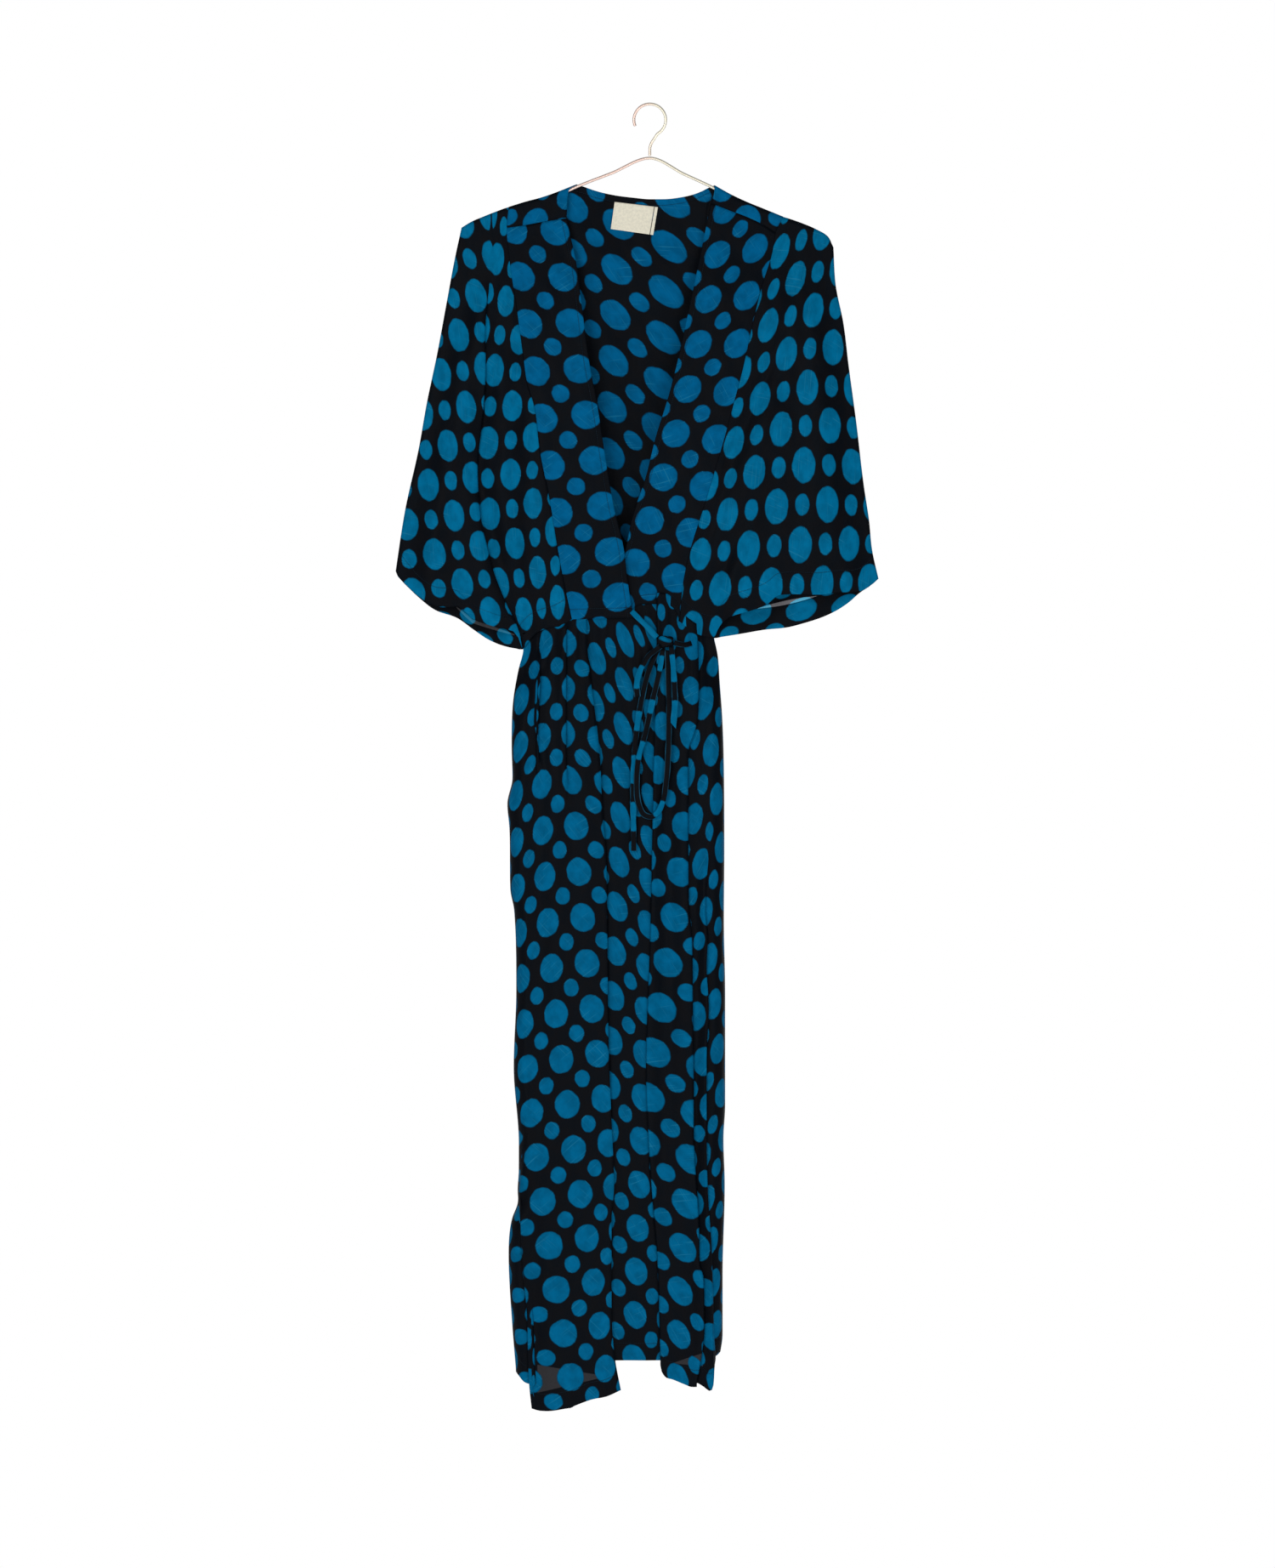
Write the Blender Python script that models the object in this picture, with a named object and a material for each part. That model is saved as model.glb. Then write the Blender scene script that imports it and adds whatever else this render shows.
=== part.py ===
"""A long wrap dress in thin silk, hanging on a bent-wire hanger.

The dress is carried at the inside top of the hanger's hook, which is the origin. X runs to the
viewer's right, Z up, and the front of the dress faces -Y. Sizes are millimetres. In the tables,
x is measured from the hanger's middle, drop is measured down from the bend at the hanger's top,
and depth is measured away from the hanger's plane, to the front or to the back.
"""

import functools
import math

import bmesh
import bpy
import numpy as np

MM = 0.001

# Driving sizes
HOOK_RISE = 62.0  # from the bend at the hanger's top to the inside top of the hook
HOOK_RADIUS = 17.0  # inside the hook
WIRE = 3.0
WALL = 1.3  # the cloth
SEAM_GAP = 0.35
TUCK = WALL + SEAM_GAP  # a panel that passes behind another's edge
RIDGE_RADIUS = 4.0  # where the cloth turns over the hanger and at the sleeve's outer fold
BODICE_HEM = 543.0  # the drop of the bodice's lower edge
OVER_LIFT = 3.0  # of the lapping front at its edge
UNDER_DROP = 4.0  # of the front beneath it
WAIST_COVER = 12.0  # how much of the skirt's top lies behind it
SIDE_RADIUS = 15.0  # of the skirt's turn from front to back
RIBBON = 6.5
RIBBON_WALL = 1.1
LABEL_WALL = 1.0
FOLD_STEP = 2.5  # from one layer of a pressed fold to the next
FOLD_TURN = 1.3  # how far a fold's round edge reaches
FOLD_COLUMNS = 6
FLAT = -8.0  # the overlap of a fold that has opened out flat

# Outlines, in rows of x, drop
RIDGE_LEFT = [
    (-221.5, 82), (-210, 75), (-196, 69), (-177, 61.5), (-166, 57.5), (-145, 51), (-128, 46.5),
    (-104, 38), (-94, 34), (-86, 31),
]
RIDGE_RIGHT = [
    (76, 32), (92, 41), (114, 51.5), (130, 58), (157, 69), (180, 77), (196, 84), (210, 93),
    (216, 105),
]
NECKLINE = [
    (-86, 31), (-78, 33.5), (-65, 38), (-44, 43), (-17, 46.5), (0, 48), (15, 48), (36, 46),
    (50, 43), (61, 39), (70, 34.5), (76, 32),
]
OUTER_LEFT = [
    (-221.5, 82), (-228.5, 114), (-239, 170), (-250.5, 232), (-262.5, 289), (-271.5, 340),
    (-288, 415), (-297, 472), (-299, 486),
]
OUTER_RIGHT = [
    (216, 105), (218.5, 148), (228, 196), (233.5, 241), (243, 312), (252, 387), (258, 427),
    (261.5, 461), (269, 495),
]
ARMHOLE_LEFT = [
    (-166, 57.5), (-168.5, 82), (-164.5, 125), (-156.5, 178), (-149, 233), (-144, 266),
    (-136.5, 290), (-129.5, 344), (-118, 401), (-109, 456), (-98.5, 511), (-91.5, 543),
]
ARMHOLE_RIGHT = [
    (157, 69), (148, 88), (143, 115), (131.5, 152), (118.5, 205), (110, 245), (97, 295), (89, 325),
    (74, 376), (60.5, 420), (49, 456), (39, 500), (35, 545),
]
FRONT_EDGE_LEFT = [
    (-98, 71), (-86, 127), (-79.5, 178), (-71.5, 239), (-62.5, 287), (-50.5, 364), (-42.5, 410),
    (-30.5, 461), (-26.5, 495), (-19.5, 541),
]
FRONT_EDGE_RIGHT = [
    (72, 53), (63.5, 94), (50.5, 157), (18.5, 292), (8.5, 323), (-5, 376), (-21, 424),
    (-29.5, 461), (-55, 505), (-84, 541),
]
YOKE_LEFT = [(-168.4, 82), (-147, 79), (-120, 74), (-98, 71)]
YOKE_RIGHT = [(148, 88), (130.5, 77), (90, 60), (72, 53)]
NECK_SIDE_LEFT = [(-86, 31), (-95, 37), (-98, 71)]
NECK_SIDE_RIGHT = [(76, 32), (76, 38), (72, 53)]
UNDERARM_LEFT = [(-91.5, 543), (-103.5, 550.5), (-118.5, 553), (-135, 560), (-142, 568), (-149.5, 578)]
UNDERARM_RIGHT = [(35, 545), (50, 557), (62, 562.5), (74.5, 565)]
CUFF_FRONT_LEFT = [
    (-149.5, 578), (-159, 558), (-182, 552), (-210, 541.5), (-226, 527.5), (-242, 529),
    (-272, 516), (-285.5, 503.5), (-297, 491), (-299, 486),
]
CUFF_BACK_LEFT = [
    (-149.5, 578), (-164, 576), (-187, 568), (-210, 553), (-226, 541.5), (-254, 531), (-272, 517),
    (-285.5, 504), (-297, 491.5), (-299, 486),
]
CUFF_FRONT_RIGHT = [
    (74.5, 565), (86.5, 545.5), (122.5, 531.5), (138.5, 525), (149.5, 515.5), (167.5, 513.5),
    (197.5, 514), (222.5, 511.5), (247.5, 510), (262, 501), (269, 495),
]
CUFF_BACK_RIGHT = [
    (74.5, 565), (105, 560), (137, 554.5), (162, 552), (183.5, 546.5), (204.5, 539.5),
    (224.5, 529.5), (237, 520.5), (247.5, 511), (262, 501.5), (269, 495),
]
SKIRT_LEFT = [
    (-149, 560), (-149, 578), (-154, 600), (-160, 633), (-162.5, 690), (-161.5, 729),
    (-167.5, 760), (-165, 790), (-164, 860), (-159.5, 885), (-157, 978), (-160, 1069),
    (-154, 1160), (-155, 1227), (-162, 1248), (-166, 1290), (-162, 1369), (-157.5, 1425),
]
SKIRT_RIGHT = [
    (74.5, 545), (75.5, 563), (79.5, 583), (82, 616), (85, 657), (87, 718), (87.5, 814), (87, 896),
    (88.5, 984), (88.5, 1114), (86.5, 1154), (88, 1208), (85.5, 1315), (85.5, 1384), (82, 1410),
]
LAP_EDGE = [
    (-75, 531), (-74.5, 560), (-70, 610), (-62.5, 667), (-59, 700), (-55, 780), (-52, 812),
    (-50, 916), (-48.5, 1040), (-45, 1134), (-42, 1208), (-45, 1248), (-45, 1342), (-40, 1417),
    (-34, 1448),
]
UNDER_EDGE = [(-84, 531), (-88, 667), (-84, 780), (-78, 1040), (-74, 1414)]
SKIRT_TOP = [
    (-149, 574), (-140, 561), (-118, 545), (-93, 533), (-80, 531), (20, 531), (35, 533), (50, 545),
    (67, 554), (74.5, 558),
]

# Half the hollow between front and back, in rows of drop, depth
UPPER_DEPTH = [(30, 4), (90, 9), (200, 13), (400, 15), (545, 16), (600, 16)]
SKIRT_DEPTH = [(545, 15), (700, 20), (1000, 24), (1450, 24)]
NECK_DEPTH = 9.0

# Where sleeve front and back draw together at the side, in rows of x, drop
SIDES = [(-149, 578), (74.5, 565)]

# Soft folds of the sleeves, in rows of x and drop at the top, middle and bottom, then width, rise
FRONT_FOLDS = [
    (-193, 230, -203, 370, -155, 557, 12, -6.0),
    (-141, 250, -141, 440, -146, 552, 10, -4.0),
    (-172, 200, -170, 380, -166, 540, 14, 4.0),
    (-215, 180, -238, 330, -262, 500, 20, 3.5),
    (174, 170, 104, 330, 37, 540, 10, -4.5),
    (135, 380, 104, 445, 68, 528, 10, -5.0),
    (150, 260, 122, 380, 92, 520, 14, 4.0),
    (205, 180, 205, 340, 190, 505, 22, 4.0),
]
BACK_FOLDS = [
    (-200, 200, -215, 360, -220, 530, 14, -5.0),
    (-150, 240, -150, 420, -165, 560, 12, -4.0),
    (-180, 220, -190, 400, -190, 540, 14, 4.0),
    (190, 180, 200, 350, 180, 530, 16, -5.0),
    (130, 260, 120, 400, 100, 545, 13, -4.0),
    (160, 240, 160, 400, 140, 540, 14, 4.0),
]

# Pressed folds of the skirt, each with its edge in rows of x, drop, then rows of overlap, drop.
# A fold whose upper layer comes from the left has over 1, from the right -1.
FOLD_SIDE = {
    "over": -1,
    "edge": [
        (-134, 545), (-135, 640), (-142, 900), (-150, 1100), (-153.5, 1225), (-149.5, 1262),
        (-145.5, 1316), (-142, 1442),
    ],
    "overlap": [(FLAT, 545), (FLAT, 1130), (0, 1225), (6, 1300), (8, 1450)],
}
FOLD_GATHER = {
    "over": 1,
    "edge": [(-100, 545), (-99, 620), (-97, 800), (-95, 1450)],
    "overlap": [
        (FLAT, 545), (FLAT, 560), (0, 600), (5, 640), (5, 690), (0, 740), (FLAT, 830),
        (FLAT, 1450),
    ],
}
FOLD_MIDDLE = {
    "over": -1,
    "edge": [
        (8, 545), (8, 580), (5, 690), (3, 800), (0.5, 915), (-4.5, 1075), (-2, 1144), (2, 1208),
        (8.5, 1288), (12.5, 1412),
    ],
    "overlap": [(FLAT, 545), (FLAT, 640), (3, 780), (10, 950), (12, 1450)],
}
FOLD_RIGHT = {
    "over": 1,
    "edge": [
        (44, 545), (46, 690), (46, 875), (50.5, 978), (52, 1114), (55, 1194), (58, 1261),
        (58, 1330), (53, 1442),
    ],
    "overlap": [(FLAT, 545), (FLAT, 600), (3, 720), (10, 900), (12, 1450)],
}
FOLD_EDGE = {
    "over": 1,
    "edge": [
        (62, 545), (66, 794), (66, 869), (68, 978), (66.5, 1114), (70, 1221), (71, 1259),
        (66, 1440),
    ],
    "overlap": [(FLAT, 545), (FLAT, 720), (2, 800), (6, 950), (7, 1450)],
}
FOLD_BACK_LEFT = {
    "over": 1,
    "edge": [(-96, 545), (-102, 800), (-98, 1100), (-104, 1450)],
    "overlap": [(FLAT, 545), (3, 640), (11, 900), (10, 1450)],
}
FOLD_BACK_MIDDLE = {
    "over": -1,
    "edge": [(-26, 545), (-30, 800), (-24, 1100), (-28, 1450)],
    "overlap": [(FLAT, 545), (FLAT, 700), (6, 900), (14, 1450)],
}
FOLD_BACK_RIGHT = {
    "over": 1,
    "edge": [(40, 545), (37, 800), (42, 1100), (36, 1450)],
    "overlap": [(FLAT, 545), (4, 700), (9, 1000), (11, 1450)],
}

# Hems of the skirt, in rows of x, drop, one table for each stretch between folds
HEM_LEFT = [
    [(-158, 1427), (-146, 1441)],
    [(-142, 1468), (-136, 1471), (-121, 1473), (-95, 1469.5)],
    [(-95, 1469.5), (-82, 1464), (-68, 1459), (-52, 1456), (-34, 1448)],
]
HEM_RIGHT = [
    [(-74, 1413.5), (12, 1413.5)],
    [(12, 1416), (14, 1427), (19, 1433), (27, 1435.5), (42, 1441), (52, 1444.5)],
    [(40, 1436), (56, 1440), (66, 1447)],
    [(60, 1440), (74, 1431), (79, 1411), (84, 1405)],
]
HEM_BACK = [
    [(-158, 1426), (-100, 1412)],
    [(-100, 1408), (-28, 1408)],
    [(-28, 1406), (40, 1404)],
    [(30, 1402), (84, 1404)],
]

# The skirt's turn at its sides, and the rows down the cloth as shares of its length
SIDE_TURN = [0, math.radians(24), math.radians(52), math.radians(90)]
YOKE_SHARE = 0.05
SHOULDER_ROWS = [0, 0.003, 0.010, 0.028, YOKE_SHARE]
BODICE_ROWS = [YOKE_SHARE, 0.12, 0.21, 0.31, 0.41, 0.51, 0.61, 0.71, 0.81, 0.91, 1]
SKIRT_ROWS = [0, 0.013, 0.03, 0.055, 0.09, 0.14, 0.21, 0.29, 0.38, 0.48, 0.58, 0.68, 0.78, 0.87, 0.94, 1]

# The ties, in rows of x, drop, forward of the right skirt front's plain surface
STRAP_LEFT = [
    (-26, 535.5, 6.6), (-18, 538, 6.8), (-11, 542, 7.2), (-3, 551, 8), (3.5, 561, 8.5),
    (8.2, 566.5, 8.5),
]
STRAP_RIGHT = [(49, 571, 4.2), (42, 573, 5.5), (34, 572, 7.5), (28.8, 570.5, 8.5)]
LOOP_SHORT = [
    (12.4, 574.8, 11.6), (6, 580, 11), (0.5, 584, 11), (-6, 593, 11), (-12.5, 606, 10.5),
    (-15.5, 622, 10.2), (-14.5, 634, 10),
]
LOOP_LONG = [
    (15.2, 578.5, 8.2), (12, 600, 8), (3, 640, 7.8), (-6, 680, 7.6), (-13, 705, 7.5),
    (-15.5, 735, 7.5), (-12.5, 762, 7.5),
    (-6, 773, 7.5), (1.5, 775, 7.5), (9, 770, 7.5), (15, 758, 7.5), (19, 735, 7.6),
    (21.5, 700, 7.8), (22.5, 650, 8), (21.5, 600, 8.2), (21.2, 579.5, 8.2),
]
TIE_END_SHORT = [
    (25.2, 575.2, 11.6), (27.5, 600, 10.5), (29, 625, 10.2), (29.5, 640, 10.2), (27.5, 668, 10.2),
]
TIE_END_LONG = [
    (10.6, 575.3, 5.2), (0, 600, 5.2), (-12, 650, 5), (-18, 700, 4.8), (-19.5, 760, 4.8),
    (-18.8, 815, 4.8),
]
KNOT = (18.5, 569.5, 7.8)
KNOT_SIZE = (19.0, 8.5, 13.0)

LABEL_CORNERS = [(-41.5, 52), (9.5, 58), (4, 91), (-46, 84)]

# The hanger's wire, in rows of x, drop
ARM_LEFT = [
    (0, 0), (-45, 17.7), (-88, 34.6), (-94, 37.3), (-104, 41.5), (-128, 50), (-145, 54.6),
    (-166, 61.5), (-177, 65.6), (-196, 73.2), (-208, 78.5),
]
ARM_RIGHT = [
    (0, 0), (40, 18.7), (76, 35.6), (92, 44.4), (114, 55.2), (130, 62), (157, 73), (180, 81.2),
    (196, 88.5), (206, 95),
]
HOOK_ARC = (-58, 205)  # degrees round the hook, from its stem to its tip
HOOK_STEM = [(0, -0.5), (0, -9), (1.5, -15), (5.5, -21.5)]

SILK = (0.006, 0.006, 0.009, 1)
SILK_BLUE = (0.0, 0.13, 0.33, 1)
LABEL_CLOTH = (0.75, 0.70, 0.60, 1)
COPPER = (0.80, 0.55, 0.42, 1)


def x_at(line, drop):
    """The x of an outline at a drop."""
    rows = np.array(line, float)
    return np.interp(drop, rows[:, 1], rows[:, 0])


def drop_at(line, x):
    """The drop of an outline at an x."""
    rows = np.array(line, float)
    return np.interp(x, rows[:, 0], rows[:, 1])


def along(line, share):
    """x and drop at a share of an outline's length."""
    rows = np.array(line, float)
    lengths = np.hypot(*np.diff(rows, axis=0).T)
    shares = np.concatenate([[0], np.cumsum(lengths)]) / lengths.sum()
    return np.stack([np.interp(share, shares, rows[:, i]) for i in (0, 1)], axis=-1)


def smooth(t):
    """0 to 1 with level ends, as t goes from 0 to 1."""
    t = np.clip(t, 0, 1)
    return t * t * (3 - 2 * t)


def quarter(distance, radius):
    """0 to 1 along a quarter circle, as distance goes from 0 to radius."""
    t = np.clip(distance / radius, 0, 1)
    return np.sqrt(t * (2 - t))


def points(x, depth, drop):
    """Places in metres from x, signed depth and drop in millimetres."""
    return np.stack(np.broadcast_arrays(x, depth, -(HOOK_RISE + drop)), axis=-1) * MM


def patch(start, end, top, bottom, share_across, share_down):
    """x and drop inside four outlines: a Coons patch, with share_across from start to end."""
    a, b = share_across[..., None], share_down[..., None]
    corners = (
        (1 - a) * (1 - b) * start(np.zeros(1))
        + a * (1 - b) * end(np.zeros(1))
        + (1 - a) * b * start(np.ones(1))
        + a * b * end(np.ones(1))
    )
    sides = (1 - a) * start(share_down) + a * end(share_down)
    ends = (1 - b) * top(share_across) + b * bottom(share_across)
    return sides + ends - corners


def joined(lines, shares):
    """One outline function from several, each taking the stretch between two of the shares."""
    def place(share):
        found = along(lines[0], (share - shares[0]) / (shares[1] - shares[0]))
        for line, low, high in zip(lines[1:], shares[1:], shares[2:]):
            here = along(line, (share - low) / (high - low))
            found = np.where((share > low)[..., None], here, found)
        return found
    return place


def fold_rise(folds, x, drop):
    """Soft ridges and troughs: a bell across each fold's line, fading at its ends."""
    rise = np.zeros(np.shape(x))
    for x0, d0, x1, d1, x2, d2, width, height in folds:
        line = np.interp(drop, [d0, d1, d2], [x0, x1, x2])
        length = smooth((drop - d0) / 60) * smooth((d2 + 60 - drop) / 80)
        rise = rise + height * length * np.exp(-(((x - line) / width) ** 2))
    beside_waist = np.minimum(x - SIDES[0][0], SIDES[1][0] - x) + 25
    at_waist = smooth((drop - 465) / 60) * smooth(beside_waist / 20)
    return rise * (1 - at_waist)


def near_side(x, drop):
    """1 where sleeve front and back draw together at a side, fading to 0."""
    near = [np.exp(-(((x - side) / 24) ** 2)) for side, _ in SIDES]
    return smooth((drop - 500) / 60) * (near[0] + near[1])


TOP_LINE = RIDGE_LEFT + NECKLINE[1:-1] + RIDGE_RIGHT


def upper_depth(x, drop, folds):
    """How far bodice and sleeves stand from the hanger's plane, before any overlap."""
    below = drop - drop_at(TOP_LINE, x)
    inside = np.minimum(x - x_at(OUTER_LEFT, drop), x_at(OUTER_RIGHT, drop) - x)
    half = np.interp(drop, *np.array(UPPER_DEPTH, float).T)
    turn = RIDGE_RADIUS * quarter(np.minimum(below, inside), RIDGE_RADIUS)
    fill = smooth(below / 150) * smooth(inside / 45)
    depth = turn + (half - RIDGE_RADIUS + fold_rise(folds, x, drop)) * fill
    return depth * (1 - 0.6 * near_side(x, drop))


def neck_lip(x, drop):
    """The back neckline's own distance behind the hanger's plane, fading down the back."""
    share = np.clip((x - NECKLINE[0][0]) / (NECKLINE[-1][0] - NECKLINE[0][0]), 0, 1)
    below = drop - drop_at(TOP_LINE, x)
    behind_wire = 3.2 * quarter(np.sin(math.pi * share), 0.05)
    bow = (NECK_DEPTH - 3.2) * np.sin(math.pi * share)
    return (behind_wire + bow) * (1 - smooth(below / 150))


def back_depth(x, drop):
    """The back bodice's distance behind the hanger's plane."""
    lip = neck_lip(x, drop) + 0.5 * upper_depth(x, drop, [])
    return np.maximum(upper_depth(x, drop, BACK_FOLDS), lip)


def below_waist(x, drop):
    """How far below the lower edge of bodice or sleeve, which lies over the skirt's top."""
    return drop - drop_at(SKIRT_TOP, x) - WAIST_COVER


def side_share(x, drop):
    """How far the skirt's hollow has opened, from 0 at a side seam to 1."""
    inside = np.minimum(x - x_at(SKIRT_LEFT, drop), x_at(SKIRT_RIGHT, drop) - x)
    radius = 2 * SIDE_RADIUS - SIDE_RADIUS * smooth(below_waist(x, drop) / 60)
    return quarter(inside, radius)


def skirt_depth(x, drop, lift_at_waist=0.0):
    """The skirt's plain distance from the hanger's plane, tucked behind the bodice at the waist."""
    waist = upper_depth(x, drop, []) - TUCK - 2.4 * near_side(x, drop) + lift_at_waist
    low = np.interp(drop, *np.array(SKIRT_DEPTH, float).T)
    fall = smooth(below_waist(x, drop) / 90)
    return (waist + (low - waist) * fall) * side_share(x, drop)


def under_lift(x):
    """How far the under front sinks below the plain depth, from its armhole to its edge."""
    return -UNDER_DROP * smooth((ARMHOLE_RIGHT[-1][0] - x) / 119)


def sheet(name, grids, material, wall=WALL):
    """One piece of cloth: grids of points welded where they meet, given a wall."""
    mesh = bpy.data.meshes.new(name)
    work = bmesh.new()
    for grid in grids:
        rows, columns = grid.shape[:2]
        verts = [work.verts.new(p) for p in grid.reshape(-1, 3)]
        for r in range(rows - 1):
            for c in range(columns - 1):
                at = r * columns + c
                work.faces.new([verts[at], verts[at + 1], verts[at + columns + 1], verts[at + columns]])
    bmesh.ops.remove_doubles(work, verts=work.verts, dist=0.00002)
    bmesh.ops.recalc_face_normals(work, faces=work.faces)
    work.to_mesh(mesh)
    work.free()
    mesh.shade_smooth()
    mesh.materials.append(material)
    piece = bpy.data.objects.new(name, mesh)
    bpy.context.scene.collection.objects.link(piece)
    solidify = piece.modifiers.new("Wall", "SOLIDIFY")
    solidify.thickness = wall * MM
    solidify.offset = 0
    return piece


def finish(name, color, roughness, metallic=0.0):
    material = bpy.data.materials.new(name)
    material.use_nodes = True
    shader = material.node_tree.nodes["Principled BSDF"]
    shader.inputs["Base Color"].default_value = color
    shader.inputs["Roughness"].default_value = roughness
    shader.inputs["Metallic"].default_value = metallic
    return material


def wire(name, route, material):
    """A bent wire along x and drop in the hanger's plane."""
    curve = bpy.data.curves.new(name, "CURVE")
    curve.dimensions = "3D"
    curve.bevel_depth = WIRE / 2 * MM
    curve.bevel_resolution = 2
    curve.use_fill_caps = True
    spline = curve.splines.new("POLY")
    spline.points.add(len(route) - 1)
    rows = np.array(route, float)
    places = points(rows[:, 0], np.zeros(len(rows)), rows[:, 1])
    spline.points.foreach_set("co", np.c_[places, np.ones(len(rows))].ravel())
    curve.materials.append(material)
    piece = bpy.data.objects.new(name, curve)
    bpy.context.scene.collection.objects.link(piece)
    return piece


def hanger(material):
    wire("hanger_arms", ARM_LEFT[::-1] + ARM_RIGHT[1:], material)
    angles = np.radians(np.linspace(*HOOK_ARC, 15))
    reach = HOOK_RADIUS + WIRE / 2
    arc = [(reach * math.cos(t), -(HOOK_RISE - HOOK_RADIUS) - reach * math.sin(t)) for t in angles]
    wire("hanger_hook", [(x, drop - WIRE / 2) for x, drop in HOOK_STEM] + arc, material)


def sleeve(name, armhole, outer, top, underarm, cuffs, away, material):
    """A sleeve folded along its outer edge: front and back sheets welded there and on top."""
    corner = 0.29
    plain = np.array([0, 0.1, 0.2, corner, 0.38, 0.47, 0.56, 0.65, 0.74, 0.83, 0.91])
    rows = np.array(SHOULDER_ROWS + BODICE_ROWS[1:])
    width = np.linalg.norm(along(outer, rows) - along(armhole, rows), axis=-1)
    edge = [1 - np.minimum(reach / width, 0.06) for reach in (6.0, 1.8, 0.0)]
    across = np.stack([np.full(len(rows), a) for a in plain] + edge, axis=1)
    down = np.repeat(rows[:, None], across.shape[1], axis=1)
    grids = []
    for cuff, sign, folds in ((cuffs[0], -1, FRONT_FOLDS), (cuffs[1], 1, BACK_FOLDS)):
        x, drop = np.moveaxis(patch(
            lambda b: along(armhole, b), lambda b: along(outer, b), lambda a: along(top, a),
            joined([underarm, cuff], [0, corner, 1]), across, down,
        ), -1, 0)
        depth = sign * upper_depth(x, drop, folds)
        grids.append(points(x + away * (1 - across), depth, drop))
    return sheet(name, grids, material)


def back_bodice(material):
    """The back panel, carried over both shoulders to the forward shoulder seams."""
    neck_start, neck_end = 0.25, 0.75
    shoulder_left = [point for point in RIDGE_LEFT if point[0] >= ARMHOLE_LEFT[0][0]]
    shoulder_right = [point for point in RIDGE_RIGHT if point[0] <= ARMHOLE_RIGHT[0][0]]
    top = joined([shoulder_left, NECKLINE, shoulder_right], [0, neck_start, neck_end, 1])
    waist = [ARMHOLE_LEFT[-1], ARMHOLE_RIGHT[-1]]
    first = np.linspace(0, neck_start, 5)
    last = np.linspace(neck_end, 1, 5)
    neck = np.linspace(neck_start, neck_end, 9)[1:-1]
    beside_wire = 0.009
    across = np.concatenate([first, [neck_start + beside_wire], neck, [neck_end - beside_wire], last])
    rows = np.array(SHOULDER_ROWS + BODICE_ROWS[1:])
    a, b = np.meshgrid(across, rows)
    x, drop = np.moveaxis(patch(
        lambda t: along(ARMHOLE_LEFT, t), lambda t: along(ARMHOLE_RIGHT, t), top,
        lambda t: along(waist, t), a, b,
    ), -1, 0)
    on_shoulder = (a <= neck_start) | (a >= neck_end)
    depth = np.where(on_shoulder, upper_depth(x, drop, BACK_FOLDS), back_depth(x, drop))
    grids = [points(x, depth, drop)]
    flaps = (
        (first / neck_start, shoulder_left, YOKE_LEFT, ARMHOLE_LEFT, NECK_SIDE_LEFT),
        (
            1 - (last - neck_end) / (1 - neck_end), shoulder_right[::-1], YOKE_RIGHT,
            ARMHOLE_RIGHT, NECK_SIDE_RIGHT,
        ),
    )
    for shares, ridge, yoke, armhole, neck_side in flaps:
        a, r = np.meshgrid(shares, np.array(SHOULDER_ROWS) / YOKE_SHARE)
        x, drop = np.moveaxis(patch(
            lambda t: along(armhole, t * YOKE_SHARE), lambda t: along(neck_side, t),
            lambda t: along(ridge, t), lambda t: along(yoke, t), a, r,
        ), -1, 0)
        grids.append(points(x, -upper_depth(x, drop, FRONT_FOLDS), drop))
    return sheet("back_bodice", grids, material)


def front_bodice(name, armhole, edge, yoke, hem, lift, material):
    """A front from the forward shoulder seam to the waist, lifted or sunk towards its front edge."""
    across = np.linspace(0, 1, 10)
    shares = (np.array(BODICE_ROWS) - YOKE_SHARE) / (1 - YOKE_SHARE)
    a, r = np.meshgrid(across, shares)
    x, drop = np.moveaxis(patch(
        lambda t: along(armhole, YOKE_SHARE + t * (1 - YOKE_SHARE)), lambda t: along(edge, t),
        lambda t: along(yoke, t), lambda t: along(hem, t), a, r,
    ), -1, 0)
    depth = upper_depth(x, drop, FRONT_FOLDS) + lift * smooth(a) * smooth(1.3 * r)
    return sheet(name, [points(x, -depth, drop + SEAM_GAP * (1 - r))], material)


def fold_columns(overlap):
    """Across a pressed fold: how far six columns lie past its edge, and how deep.

    The upper layer turns at the edge, runs back under itself by the overlap and turns again.
    With a negative overlap the same six columns spread out, and the fold opens flat.
    """
    closed = np.clip(overlap / (2 * FOLD_TURN), -1, 1)
    step = FOLD_STEP * smooth((overlap - FLAT) / 6)
    past = [
        -FOLD_TURN + 0 * overlap, 0 * overlap, -FOLD_TURN * closed,
        -overlap + FOLD_TURN * closed, -overlap, -overlap + FOLD_TURN,
    ]
    deep = [2 * step, 1.5 * step, 1.15 * step, 0.85 * step, 0.5 * step, 0 * step]
    return past, deep


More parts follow.
